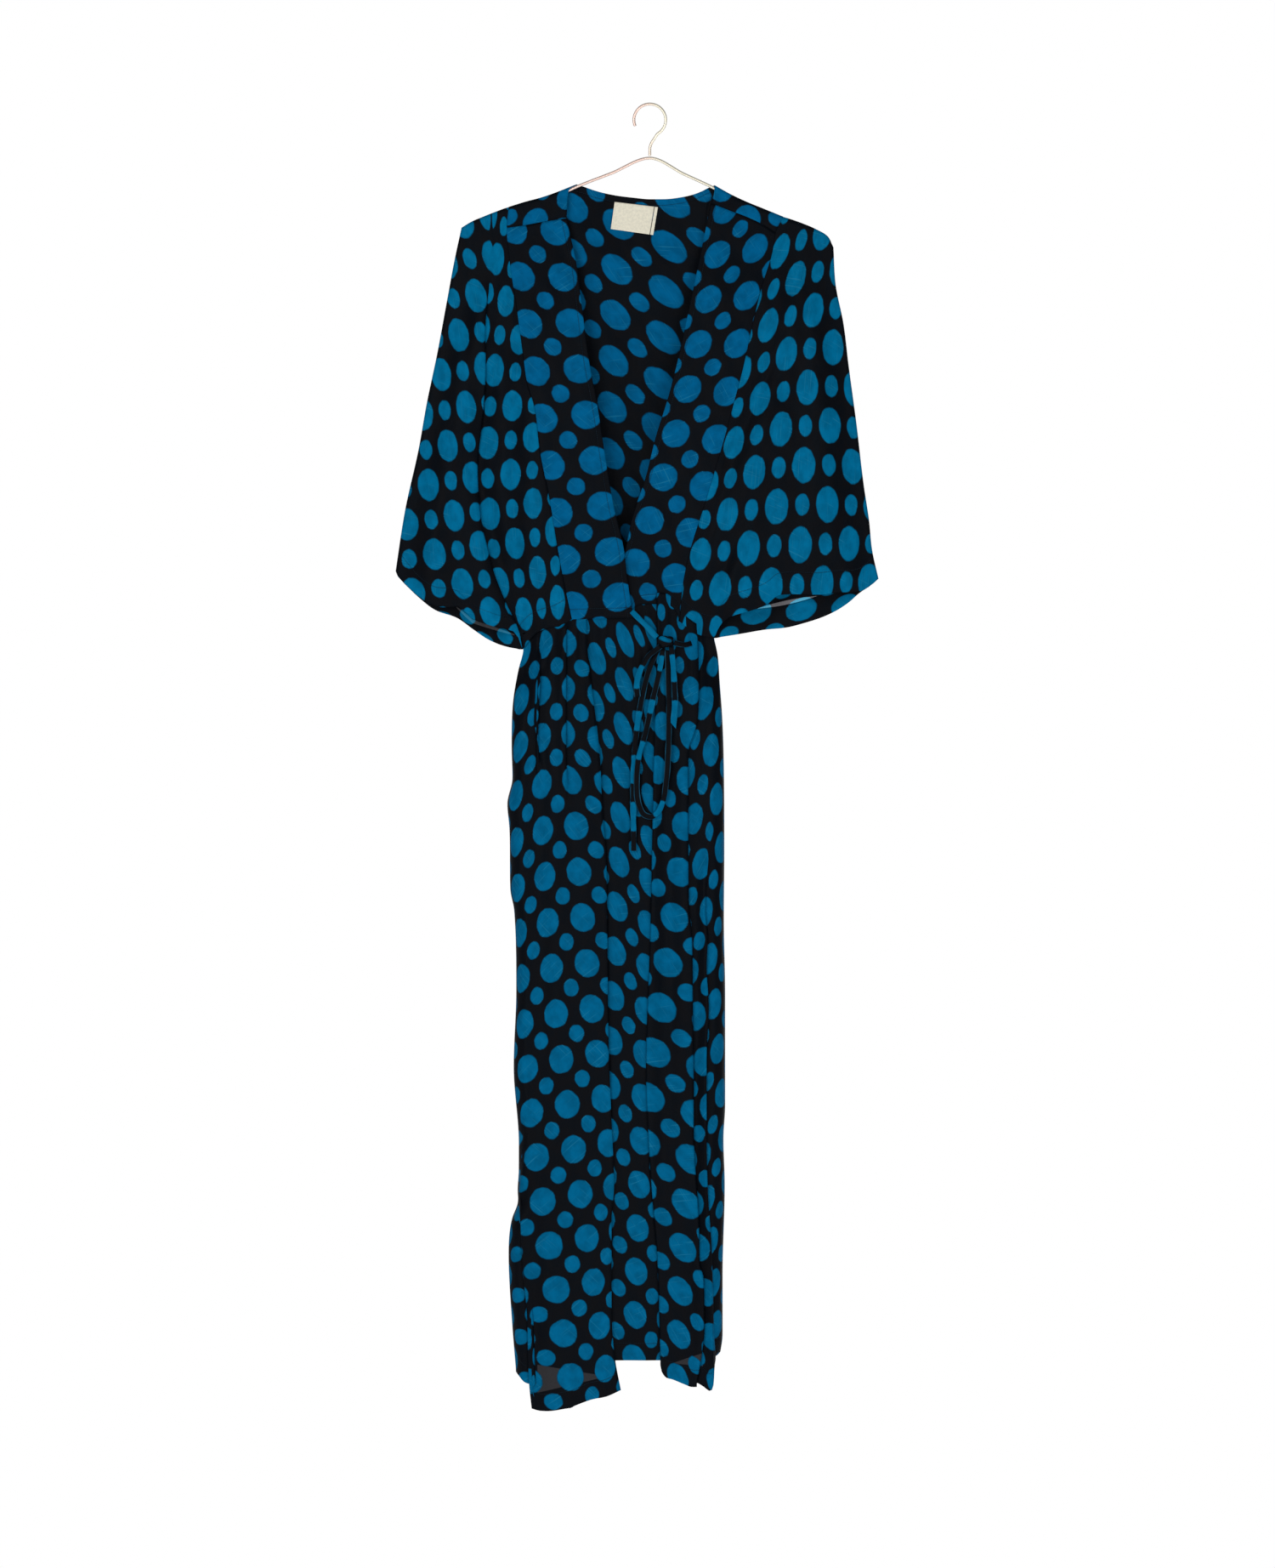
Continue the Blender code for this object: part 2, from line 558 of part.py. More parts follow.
def skirt_panel(name, ends, folds, counts, hems, depth_of, waves, sign, material):
    """A gathered skirt panel: stretches of plain columns between pressed folds, down to the hem.

    ends holds the panel's first and last outlines, and counts how many columns each stretch has.
    An end that is a side of the skirt turns through a quarter circle towards the hanger's plane.
    """
    last = len(counts) - 1

    def on_fold(number, place, drop):
        fold = folds[number]
        rows = np.array(fold["overlap"], float)
        past, deep = fold_columns(np.interp(drop, rows[:, 1], rows[:, 0]))
        order = place if fold["over"] > 0 else FOLD_COLUMNS - 1 - place
        return x_at(fold["edge"], drop) + fold["over"] * past[order], deep[order]

    def on_stretch(number, share, drop):
        low, high = x_at(ends[0], drop), x_at(ends[1], drop)
        lift = np.zeros(np.shape(drop))
        if number > 0:
            low, deep = on_fold(number - 1, FOLD_COLUMNS - 1, drop)
            lift = lift + deep * smooth(1 - 2 * share)
        if number < last:
            high, deep = on_fold(number, 0, drop)
            lift = lift + deep * smooth(2 * share - 1)
        return low + (high - low) * share, lift

    def column(locate, hem_table, ripple, inset=0.0):
        hem = drop_at(hem_table, locate(np.array(float(hem_table[0][1])))[0])
        start = drop_at(SKIRT_TOP, locate(np.array(BODICE_HEM))[0])
        drop = start + (hem - start) * np.array(SKIRT_ROWS)
        x, lift = locate(drop)
        x = x + inset
        depth = depth_of(x, drop) + (lift + ripple(x, drop)) * side_share(x, drop)
        near_waist = 1 - smooth(below_waist(x, drop) / 40)
        return points(x, sign * np.maximum(depth, SEAM_GAP + 0.1 + 0.4 * near_waist), drop)

    grid = []
    for number, count in enumerate(counts):
        for share in np.linspace(0, 1, count):
            locate = functools.partial(on_stretch, number, share)
            outside = (number == 0 and share == 0) or (number == last and share == 1)
            if outside and ends[0 if share == 0 else 1] in (SKIRT_LEFT, SKIRT_RIGHT):
                toward = 1 if share == 0 else -1
                insets = [toward * SIDE_RADIUS * (1 - math.cos(angle)) for angle in SIDE_TURN]
                for inset in insets[::toward]:
                    grid.append(column(locate, hems[number], level, inset))
            elif outside or 0 < share < 1:
                ripple = functools.partial(waves, number=len(grid))
                grid.append(column(locate, hems[number], ripple))
        for place in range(FOLD_COLUMNS if number < last else 0):
            order = place if folds[number]["over"] > 0 else FOLD_COLUMNS - 1 - place
            upper = order < 2
            hem_table = hems[number if upper == (folds[number]["over"] > 0) else number + 1]
            grid.append(column(functools.partial(on_fold, number, place), hem_table, level))
    return sheet(name, [np.stack(grid, axis=1)], material)


def level(x, drop):
    """No ripple."""
    return np.zeros(np.shape(x))


def gathers(x, drop, number):
    """Gathers that fade below the waist, over long shallow folds; each odd column is a trough."""
    below = np.maximum(below_waist(x, drop), 0)
    close = 1.5 * (-1.0) ** number * smooth(below / 12) * np.exp(-below / 110)
    long = 1.6 * math.sin(1.9 * number + 0.7) * smooth((drop - 620) / 160)
    return close + long


def skirts(material):
    def lapped(x, drop):
        reach = smooth((x - x_at(LAP_EDGE, drop) + 100) / 60)
        return skirt_depth(x, drop) + 5.2 * reach * smooth(below_waist(x, drop) / 60)

    def under(x, drop):
        return skirt_depth(x, drop, under_lift(x))

    def calm(x, drop, number):
        uncovered = smooth((x - x_at(LAP_EDGE, drop) + 6) / 16)
        return gathers(x, drop, number) * (0.25 + 0.75 * uncovered)

    skirt_panel(
        "skirt_front_left", [SKIRT_LEFT, LAP_EDGE], [FOLD_SIDE, FOLD_GATHER], [2, 6, 10],
        HEM_LEFT, lapped, gathers, -1, material,
    )
    skirt_panel(
        "skirt_front_right", [UNDER_EDGE, SKIRT_RIGHT], [FOLD_MIDDLE, FOLD_RIGHT, FOLD_EDGE],
        [12, 8, 4, 2], HEM_RIGHT, under, calm, -1, material,
    )
    skirt_panel(
        "skirt_back", [SKIRT_LEFT, SKIRT_RIGHT],
        [FOLD_BACK_LEFT, FOLD_BACK_MIDDLE, FOLD_BACK_RIGHT], [7, 9, 9, 6],
        HEM_BACK, skirt_depth, gathers, 1, material,
    )


def ribbon(name, route, material, pointed=False):
    """A flat tie facing forwards: its two edges lie half its width to each side of the route."""
    rows = np.array(route, float)
    x, drop, forward = rows.T
    heading = np.stack([np.gradient(x), np.gradient(drop)], axis=-1)
    heading /= np.linalg.norm(heading, axis=-1, keepdims=True)
    across = np.stack([heading[:, 1], -heading[:, 0]], axis=-1) * RIBBON / 2
    depth = -(skirt_depth(x, drop) + forward)
    edges = [points(x + s * across[:, 0], depth, drop + s * across[:, 1]) for s in (-1, 1)]
    if pointed:
        edges[1][-1, 2] += RIBBON * MM
    return sheet(name, [np.stack(edges, axis=1)], material, RIBBON_WALL)


def knot(material):
    """The bow's knot: a ball swollen towards a block, squashed front to back."""
    work = bmesh.new()
    bmesh.ops.create_uvsphere(work, u_segments=12, v_segments=8, radius=0.5)
    x, drop, forward = KNOT
    place = points(x, -(skirt_depth(np.array(x), np.array(drop)) + forward), drop)
    for vert in work.verts:
        swelling = 0.5 / sum(abs(c) ** 3 for c in vert.co) ** (1 / 3)
        sized = [c * swelling * size * MM for c, size in zip(vert.co, KNOT_SIZE)]
        vert.co = [c + at for c, at in zip(sized, place)]
    mesh = bpy.data.meshes.new("tie_knot")
    work.to_mesh(mesh)
    work.free()
    mesh.shade_smooth()
    mesh.materials.append(material)
    piece = bpy.data.objects.new("tie_knot", mesh)
    bpy.context.scene.collection.objects.link(piece)


def ties(material):
    ribbon("tie_strap_left", STRAP_LEFT, material)
    ribbon("tie_strap_right", STRAP_RIGHT, material)
    ribbon("bow_loop_short", LOOP_SHORT, material)
    ribbon("bow_loop_long", LOOP_LONG, material)
    ribbon("tie_end_short", TIE_END_SHORT, material, pointed=True)
    ribbon("tie_end_long", TIE_END_LONG, material)
    knot(material)


def neck_label(material):
    """The label, on the back panel's inside."""
    a, b = np.meshgrid(np.linspace(0, 1, 5), np.linspace(0, 1, 4))
    corners = np.array(LABEL_CORNERS, float)
    a, b = a[..., None], b[..., None]
    top = corners[0] * (1 - a) + corners[1] * a
    bottom = corners[3] * (1 - a) + corners[2] * a
    x, drop = np.moveaxis(top * (1 - b) + bottom * b, -1, 0)
    depth = back_depth(x, drop) - (WALL + LABEL_WALL) / 2 - SEAM_GAP
    return sheet("neck_label", [points(x, depth, drop)], material, LABEL_WALL)


def main():
    for item in list(bpy.data.objects):
        bpy.data.objects.remove(item)
    silk = finish("silk", SILK, 0.45)
    tie_silk = finish("tie_silk", SILK_BLUE, 0.45)
    hanger(finish("wire", COPPER, 0.3, 1.0))
    back_bodice(silk)
    front_bodice(
        "front_bodice_left", ARMHOLE_LEFT, FRONT_EDGE_LEFT, YOKE_LEFT,
        [ARMHOLE_LEFT[-1], FRONT_EDGE_LEFT[-1]], OVER_LIFT, silk,
    )
    front_bodice(
        "front_bodice_right", ARMHOLE_RIGHT, FRONT_EDGE_RIGHT, YOKE_RIGHT,
        [ARMHOLE_RIGHT[-1], FRONT_EDGE_RIGHT[-1]], -UNDER_DROP, silk,
    )
    top_left = [point for point in RIDGE_LEFT if point[0] <= ARMHOLE_LEFT[0][0]][::-1]
    top_right = [point for point in RIDGE_RIGHT if point[0] >= ARMHOLE_RIGHT[0][0]]
    sleeve(
        "sleeve_left", ARMHOLE_LEFT, OUTER_LEFT, top_left, UNDERARM_LEFT,
        (CUFF_FRONT_LEFT, CUFF_BACK_LEFT), -SEAM_GAP, silk,
    )
    sleeve(
        "sleeve_right", ARMHOLE_RIGHT, OUTER_RIGHT, top_right, UNDERARM_RIGHT,
        (CUFF_FRONT_RIGHT, CUFF_BACK_RIGHT), SEAM_GAP, silk,
    )
    skirts(silk)
    ties(tie_silk)
    neck_label(finish("label_cloth", LABEL_CLOTH, 0.8))


main()
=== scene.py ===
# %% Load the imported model
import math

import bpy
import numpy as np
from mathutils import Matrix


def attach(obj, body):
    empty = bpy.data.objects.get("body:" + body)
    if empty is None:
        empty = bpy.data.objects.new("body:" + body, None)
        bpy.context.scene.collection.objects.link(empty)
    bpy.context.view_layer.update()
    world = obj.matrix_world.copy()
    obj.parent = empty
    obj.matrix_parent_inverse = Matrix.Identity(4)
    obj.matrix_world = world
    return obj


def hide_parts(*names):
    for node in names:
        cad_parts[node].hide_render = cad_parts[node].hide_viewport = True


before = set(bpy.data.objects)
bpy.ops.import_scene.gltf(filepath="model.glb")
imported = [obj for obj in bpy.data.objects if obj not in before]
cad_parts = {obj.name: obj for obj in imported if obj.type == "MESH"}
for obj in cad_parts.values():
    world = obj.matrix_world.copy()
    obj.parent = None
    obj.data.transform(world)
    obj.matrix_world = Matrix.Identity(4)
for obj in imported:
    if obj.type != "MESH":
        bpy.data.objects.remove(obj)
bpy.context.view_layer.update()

# %% [markdown]
# # A polka-dot wrap dress on its hanger
# The solids give the dress its places: every panel is a thick, plain sheet. Here each panel is
# made again as thin silk, in the same place, with its gathers, its pressed folds and its print.
# Sizes in the tables are millimetres: x to the viewer's right of the hanger's middle, drop below
# the bend of its wire, depth away from its plane (the front of the dress has a negative depth).

MM = 0.001
HOOK_RISE = 62.0  # from the wire's bend up to the hook's inside top, the model's origin

# %% [markdown]
# ## Camera, floor and light
# The photograph is a cut-out on white, taken straight from the front with a long lens, so a
# camera far away with a narrow view has the same flat perspective. Its frame is 1500 by 1844
# pixels and one pixel is one millimetre at the dress.

# %% Camera
FRAME_HEIGHT = 1.844  # metres that the picture's long side covers at the dress
FRAME_MIDDLE = (-0.0145, -0.7985)  # x and z at the middle of the picture
FRONT_FACE = -0.008  # the depth at which a pixel is a millimetre
LENS, SENSOR = 240.0, 36.0
distance = FRAME_HEIGHT * LENS / SENSOR
camera_data = bpy.data.cameras.new("camera")
camera_data.lens, camera_data.sensor_width = LENS, SENSOR
camera_data.clip_end = 60
camera = bpy.data.objects.new("camera", camera_data)
camera.location = (FRAME_MIDDLE[0], FRONT_FACE - distance, FRAME_MIDDLE[1])
camera.rotation_euler = (math.radians(90), 0, 0)
bpy.context.scene.collection.objects.link(camera)
bpy.context.scene.camera = camera
print(f"camera {distance:.2f} m in front")


# %% Light: four large soft panels and a pale room
PANEL = 2.2  # metres along a side
AIM = (0, 0, -0.8)  # the middle of the dress
PANELS = {  # place in metres, power in watts
    "key": ((-1.9, -4.6, 0.3), 75),
    "fill": ((1.9, -4.6, -1.5), 57),
    "behind_left": ((-1.6, 4.2, 0.4), 26),
    "behind_right": ((1.8, 4.2, -0.6), 22),
}
ROOM_COLOR, ROOM_STRENGTH = (0.9, 0.95, 1.0, 1), 0.27
WHITE = (1, 1, 1, 1)


def light(name, place, power):
    """A square light at a place, turned so that its face looks at the dress."""
    data = bpy.data.lights.new(name, "AREA")
    data.energy, data.size = power, PANEL
    lamp = bpy.data.objects.new(name, data)
    lamp.location = place
    toward = np.array(AIM, float) - np.array(place, float)
    yaw = math.atan2(toward[1], toward[0]) - math.pi / 2
    pitch = math.atan2(toward[2], math.hypot(toward[0], toward[1])) + math.pi / 2
    lamp.rotation_euler = (pitch, 0, yaw)
    bpy.context.scene.collection.objects.link(lamp)


for name, (place, power) in PANELS.items():
    light(name, place, power)

world = bpy.data.worlds.new("room")
bpy.context.scene.world = world
world.use_nodes = True
room = world.node_tree
room.nodes.clear()
output = room.nodes.new("ShaderNodeOutputWorld")
seen = room.nodes.new("ShaderNodeMixShader")
path = room.nodes.new("ShaderNodeLightPath")
soft = room.nodes.new("ShaderNodeBackground")
white = room.nodes.new("ShaderNodeBackground")
soft.inputs["Color"].default_value = ROOM_COLOR
soft.inputs["Strength"].default_value = ROOM_STRENGTH
white.inputs["Color"].default_value = WHITE
room.links.new(path.outputs["Is Camera Ray"], seen.inputs[0])
room.links.new(soft.outputs[0], seen.inputs[1])
room.links.new(white.outputs[0], seen.inputs[2])
room.links.new(seen.outputs[0], output.inputs["Surface"])
bpy.context.scene.view_settings.view_transform = "Standard"

# %% Floor
FLOOR_HEIGHT = -2.0
FLOOR_CORNERS = [(-5, -6), (5, -6), (5, 1.4), (-5, 1.4)]
FLOOR_GLOW = 0.45
floor_mesh = bpy.data.meshes.new("floor")
floor_mesh.from_pydata([(x, y, FLOOR_HEIGHT) for x, y in FLOOR_CORNERS], [], [(0, 1, 2, 3)])
floor = bpy.data.objects.new("floor", floor_mesh)
floor_finish = bpy.data.materials.new("floor_paint")
floor_finish.use_nodes = True
floor_shader = floor_finish.node_tree.nodes["Principled BSDF"]
floor_shader.inputs["Base Color"].default_value = (0.9, 0.9, 0.9, 1)
floor_shader.inputs["Roughness"].default_value = 0.9
floor_shader.inputs["Emission Color"].default_value = WHITE
floor_shader.inputs["Emission Strength"].default_value = FLOOR_GLOW
floor_mesh.materials.append(floor_finish)
bpy.context.scene.collection.objects.link(floor)

# %% [markdown]
# ## Outlines
# A maker works from the edges of each pattern piece. Each table below is one edge of the hanging
# dress, as rows of x and drop, and a smooth line is drawn through its rows.

# %% Edges of the bodice and the sleeves
RIDGE_LEFT = [
    (-221.5, 82), (-210, 75), (-196, 69), (-177, 61.5), (-166, 57.5), (-145, 51), (-128, 46.5),
    (-104, 38), (-94, 34), (-86, 31),
]
RIDGE_RIGHT = [
    (76, 32), (92, 41), (114, 51.5), (130, 58), (157, 69), (180, 77), (196, 84), (210, 93),
    (216, 105),
]
NECKLINE = [
    (-86, 31), (-78, 33.5), (-65, 38), (-44, 43), (-17, 46.5), (0, 48), (15, 48), (36, 46),
    (50, 43), (61, 39), (70, 34.5), (76, 32),
]
OUTER_LEFT = [
    (-221.5, 82), (-228.5, 114), (-239, 170), (-250.5, 232), (-262.5, 289), (-271.5, 340),
    (-288, 415), (-297, 472), (-299, 486),
]
OUTER_RIGHT = [
    (216, 105), (218.5, 148), (228, 196), (233.5, 241), (243, 312), (252, 387), (258, 427),
    (261.5, 461), (269, 495),
]
ARMHOLE_LEFT = [
    (-166, 57.5), (-168.5, 82), (-164.5, 125), (-156.5, 178), (-149, 233), (-144, 266),
    (-136.5, 290), (-129.5, 344), (-118, 401), (-109, 456), (-98.5, 511), (-91.5, 543),
]
ARMHOLE_RIGHT = [
    (157, 69), (148, 88), (143, 115), (131.5, 152), (118.5, 205), (110, 245), (97, 295), (89, 325),
    (74, 376), (60.5, 420), (49, 456), (39, 500), (35, 545),
]
FRONT_EDGE_LEFT = [
    (-98, 71), (-86, 127), (-79.5, 178), (-71.5, 239), (-62.5, 287), (-50.5, 364), (-42.5, 410),
    (-30.5, 461), (-26.5, 495), (-19.5, 541),
]
FRONT_EDGE_RIGHT = [
    (72, 53), (63.5, 94), (50.5, 157), (18.5, 292), (8.5, 323), (-5, 376), (-21, 424),
    (-29.5, 461), (-55, 505), (-84, 541),
]
YOKE_LEFT = [(-168.4, 82), (-147, 79), (-120, 74), (-98, 71)]
YOKE_RIGHT = [(148, 88), (130.5, 77), (90, 60), (72, 53)]
NECK_SIDE_LEFT = [(-86, 31), (-95, 37), (-98, 71)]
NECK_SIDE_RIGHT = [(76, 32), (76, 38), (72, 53)]
UNDERARM_LEFT = [
    (-91.5, 543), (-103.5, 550.5), (-118.5, 553), (-135, 560), (-142, 568), (-149.5, 578),
]
UNDERARM_RIGHT = [(35, 545), (50, 557), (62, 562.5), (74.5, 565)]
CUFF_FRONT_LEFT = [
    (-149.5, 578), (-159, 558), (-182, 552), (-210, 541.5), (-226, 527.5), (-242, 529),
    (-272, 516), (-285.5, 503.5), (-297, 491), (-299, 486),
]
CUFF_BACK_LEFT = [
    (-149.5, 578), (-164, 576), (-187, 568), (-210, 553), (-226, 541.5), (-254, 531), (-272, 517),
    (-285.5, 504), (-297, 491.5), (-299, 486),
]
CUFF_FRONT_RIGHT = [
    (74.5, 565), (86.5, 545.5), (122.5, 531.5), (138.5, 525), (149.5, 515.5), (167.5, 513.5),
    (197.5, 514), (222.5, 511.5), (247.5, 510), (262, 501), (269, 495),
]
CUFF_BACK_RIGHT = [
    (74.5, 565), (105, 560), (137, 554.5), (162, 552), (183.5, 546.5), (204.5, 539.5),
    (224.5, 529.5), (237, 520.5), (247.5, 511), (262, 501.5), (269, 495),
]
TOP_LINE = RIDGE_LEFT + NECKLINE[1:-1] + RIDGE_RIGHT

print("points on the top line:", len(TOP_LINE))

# %% Edges of the skirt
SKIRT_LEFT = [
    (-149, 560), (-149, 578), (-154, 600), (-160, 633), (-162.5, 690), (-161.5, 729),
    (-167.5, 760), (-165, 790), (-164, 860), (-159.5, 885), (-157, 978), (-160, 1069),
    (-154, 1160), (-155, 1227), (-162, 1248), (-166, 1290), (-162, 1369), (-157.5, 1425),
]
SKIRT_RIGHT = [
    (74.5, 545), (75.5, 563), (79.5, 583), (82, 616), (85, 657), (87, 718), (87.5, 814), (87, 896),
    (88.5, 984), (88.5, 1114), (86.5, 1154), (88, 1208), (85.5, 1315), (85.5, 1384), (82, 1410),
]
LAP_EDGE = [
    (-75, 531), (-74.5, 560), (-70, 610), (-62.5, 667), (-59, 700), (-55, 780), (-52, 812),
    (-50, 916), (-48.5, 1040), (-45, 1134), (-42, 1208), (-45, 1248), (-45, 1342), (-40, 1417),
    (-34, 1448),
]
UNDER_EDGE = [(-84, 531), (-88, 667), (-84, 780), (-78, 1040), (-74, 1414)]
SKIRT_TOP = [
    (-149, 566), (-140, 554), (-118, 541), (-93, 533), (-80, 531), (-30, 529), (-18, 516), (-4, 512),
    (16, 512), (26, 517), (35, 531), (50, 545), (67, 554), (74.5, 558),
]
WAIST_RIGHT = [(35, 545), (29, 531), (18, 525), (0, 525), (-15, 526.5), (-30, 538), (-84, 541)]
HEM_LEFT = [
    [(-158, 1427), (-146, 1441)],
    [(-142, 1468), (-136, 1471), (-121, 1473), (-95, 1469.5)],
    [(-95, 1469.5), (-82, 1464), (-68, 1459), (-52, 1456), (-34, 1448)],
]
HEM_RIGHT = [
    [(-74, 1413.5), (12, 1413.5)],
    [(12, 1416), (14, 1427), (19, 1433), (27, 1435.5), (42, 1441), (52, 1444.5)],
    [(50, 1438), (56, 1440), (66, 1446), (71.2, 1449.5), (77.5, 1408.5)],
    [(70, 1409), (77.5, 1408.5), (84, 1402)],
]
HEM_BACK = [
    [(-158, 1426), (-100, 1412)],
    [(-100, 1408), (-28, 1408)],
    [(-28, 1406), (40, 1404)],
    [(30, 1402), (84, 1404)],
]
print("skirt's stretches:", len(HEM_LEFT) + 1, "left,", len(HEM_RIGHT), "right,", len(HEM_BACK), "back")

# %% [markdown]
# ## Drawing with tables
# Three small tools read the tables: a smooth line through rows, the place at a share of a line's
# length, and a surface stretched between four lines.


# %% Smooth lines
def through(knots, values, at):
    """A smooth line through rows (knot, value): on each stretch a cubic, whose slope at a row is
    the mean of the slopes beside it, weighted by nearness, and level where these differ in sign."""
    at = np.clip(at, knots[0], knots[-1])
    steps = np.diff(knots)
    rises = np.diff(values) / steps
    inner = (rises[:-1] * steps[1:] + rises[1:] * steps[:-1]) / (steps[:-1] + steps[1:])
    limit = 3 * np.minimum(np.abs(rises[:-1]), np.abs(rises[1:]))
    inner = np.where(rises[:-1] * rises[1:] <= 0, 0, np.clip(inner, -limit, limit))
    slopes = np.concatenate([rises[:1], inner, rises[-1:]])
    i = np.clip(np.searchsorted(knots, at, side="right") - 1, 0, len(knots) - 2)
    t = (at - knots[i]) / steps[i]
    start = (1 + 2 * t) * (1 - t) ** 2 * values[i] + t * (1 - t) ** 2 * steps[i] * slopes[i]
    end = t * t * (3 - 2 * t) * values[i + 1] - t * t * (1 - t) * steps[i] * slopes[i + 1]
    return start + end


def x_at(line, drop):
    """x of a line at a drop."""
    rows = np.array(line, float)
    return through(rows[:, 1], rows[:, 0], np.asarray(drop, float))


def drop_at(line, x):
    """The drop of a line at an x."""
    rows = np.array(line, float)
    return through(rows[:, 0], rows[:, 1], np.asarray(x, float))


def along(line, share):
    """x and drop at a share of a line's length."""
    rows = np.array(line, float)
    lengths = np.hypot(*np.diff(rows, axis=0).T)
    shares = np.concatenate([[0], np.cumsum(lengths)]) / lengths.sum()
    return np.stack([through(shares, rows[:, i], np.asarray(share, float)) for i in (0, 1)], axis=-1)


def walked(route, steps_in):
    """A smooth walk along a route of x, drop and perhaps more: the length so far at each step, the
    route's values there, and the direction to the walk's side. steps_in gives the number of steps
    for a length."""
    rows = np.array(route, float)
    reach = np.hypot(*np.diff(rows[:, :2], axis=0).T)
    length = np.concatenate([[0], np.cumsum(reach)])
    at = np.linspace(0, length[-1], steps_in(length[-1]))
    values = [through(length, column, at) for column in rows.T]
    heading = np.stack([np.gradient(values[0], at), np.gradient(values[1], at)], axis=-1)
    heading /= np.linalg.norm(heading, axis=-1, keepdims=True)
    return at, values, heading, np.stack([heading[:, 1], -heading[:, 0]], axis=-1)


def joined(lines, shares):
    """One line from several, each taking the stretch between two of the shares. Gives a function
    of the share of the whole."""
    def place(share):
        found = along(lines[0], (share - shares[0]) / (shares[1] - shares[0]))
        for line, low, high in zip(lines[1:], shares[1:], shares[2:]):
            here = along(line, (share - low) / (high - low))
            found = np.where((share > low)[..., None], here, found)
        return found
    return place


def patch(start, end, top, bottom, across, down):
    """x and drop inside four lines (a Coons patch): the mean between start and end, plus the mean
    between top and bottom, less the mean of the four corners."""
    a, b = across[..., None], down[..., None]
    corners = (
        (1 - a) * (1 - b) * start(np.zeros(1)) + a * (1 - b) * end(np.zeros(1))
        + (1 - a) * b * start(np.ones(1)) + a * b * end(np.ones(1))
    )
    sides = (1 - a) * start(down) + a * end(down)
    ends = (1 - b) * top(across) + b * bottom(across)
    return np.moveaxis(sides + ends - corners, -1, 0)


def smooth(t):
    """0 to 1 with level ends: t squared times (3 - 2 t)."""
    t = np.clip(t, 0, 1)
    return t * t * (3 - 2 * t)


def quarter(distance, radius):
    """0 to 1 as a quarter circle rises, as distance goes from 0 to radius."""
    t = np.clip(distance / radius, 0, 1)
    return np.sqrt(t * (2 - t))


print("left skirt edge at a drop of 1000:", round(float(x_at(SKIRT_LEFT, 1000)), 1))

# %% [markdown]
# ## The hanging form
# The dress hangs nearly flat. These functions give how far the cloth stands from the hanger's
# plane: a small round turn over the wire and at the sleeve's outer fold, then a slow swell.

# %% Depth of the bodice and the sleeves
RIDGE_RADIUS = 4.0
UPPER_DEPTH = [(30, 4), (90, 9), (200, 13), (400, 15), (545, 16), (600, 16)]
SKIRT_DEPTH = [(545, 15), (700, 20), (1000, 24), (1450, 24)]
NECK_DEPTH = 9.0
WAIST_COVER = 12.0
SIDE_RADIUS = 15.0
TUCK = 1.65
OVER_LIFT, UNDER_DROP = 3.0, 4.0
SIDES = [-149, 74.5]  # x of the side seams at the underarm
SIDE_WIDTH, SIDE_PINCH, SIDE_TUCK = 24, 0.8, 2.4
FOLDS_START, FOLDS_END = 60, 80  # run over which a soft fold rises and falls away
WAIST_CALM = 465  # below this drop the soft folds of the bodice end
FILL_DOWN, FILL_IN = 150, 45  # run over which the bodice fills, from its top and from its side
BEHIND_WIRE = 3.2
SKIRT_EASE = 90  # run below the waist over which the skirt takes its own depth
LAP_REACH, LAP_LIFT = 100, 5.2
# Soft folds: x and drop at the top, middle and bottom, then width and rise
FRONT_FOLDS = [
    (-193, 230, -203, 370, -155, 557, 12, -6.0),
    (-141, 250, -141, 440, -146, 552, 10, -4.0),
    (-172, 200, -170, 380, -166, 540, 14, 4.0),
    (-215, 180, -238, 330, -262, 500, 20, 3.5),
    (174, 170, 104, 330, 37, 540, 10, -4.5),
    (135, 380, 104, 445, 68, 528, 10, -5.0),
    (150, 260, 122, 380, 92, 520, 14, 4.0),
    (205, 180, 205, 340, 190, 505, 22, 4.0),
]
BACK_FOLDS = [
    (-200, 200, -215, 360, -220, 530, 14, -5.0),
    (-150, 240, -150, 420, -165, 560, 12, -4.0),
    (-180, 220, -190, 400, -190, 540, 14, 4.0),
    (190, 180, 200, 350, 180, 530, 16, -5.0),
    (130, 260, 120, 400, 100, 545, 13, -4.0),
    (160, 240, 160, 400, 140, 540, 14, 4.0),
]


def fold_rise(folds, x, drop):
    """Soft ridges and troughs: a bell across each fold's line, fading at its ends."""
    rise = np.zeros(np.shape(x))
    for x0, d0, x1, d1, x2, d2, width, height in folds:
        line = np.interp(drop, [d0, d1, d2], [x0, x1, x2])
        length = smooth((drop - d0) / FOLDS_START) * smooth((d2 + 60 - drop) / FOLDS_END)
        rise = rise + height * length * np.exp(-(((x - line) / width) ** 2))
    beside_waist = np.minimum(x - SIDES[0], SIDES[1] - x) + 25
    return rise * (1 - smooth((drop - WAIST_CALM) / 60) * smooth(beside_waist / 20))


def near_side(x, drop):
    """1 where sleeve front and back draw together at a side, fading to 0."""
    near = [np.exp(-(((x - side) / SIDE_WIDTH) ** 2)) for side in SIDES]
    return smooth((drop - 500) / 60) * (near[0] + near[1])


def upper_depth(x, drop, folds):
    """A quarter turn over the top line or in from the outer fold, plus a slow swell."""
    below = drop - drop_at(TOP_LINE, x)
    inside = np.minimum(x - x_at(OUTER_LEFT, drop), x_at(OUTER_RIGHT, drop) - x)
    half = through(*np.array(UPPER_DEPTH, float).T, drop)
    turn = RIDGE_RADIUS * quarter(np.minimum(below, inside), RIDGE_RADIUS)
    fill = smooth(below / FILL_DOWN) * smooth(inside / FILL_IN)
    depth = turn + (half - RIDGE_RADIUS + fold_rise(folds, x, drop)) * fill
    return depth * (1 - SIDE_PINCH * near_side(x, drop))


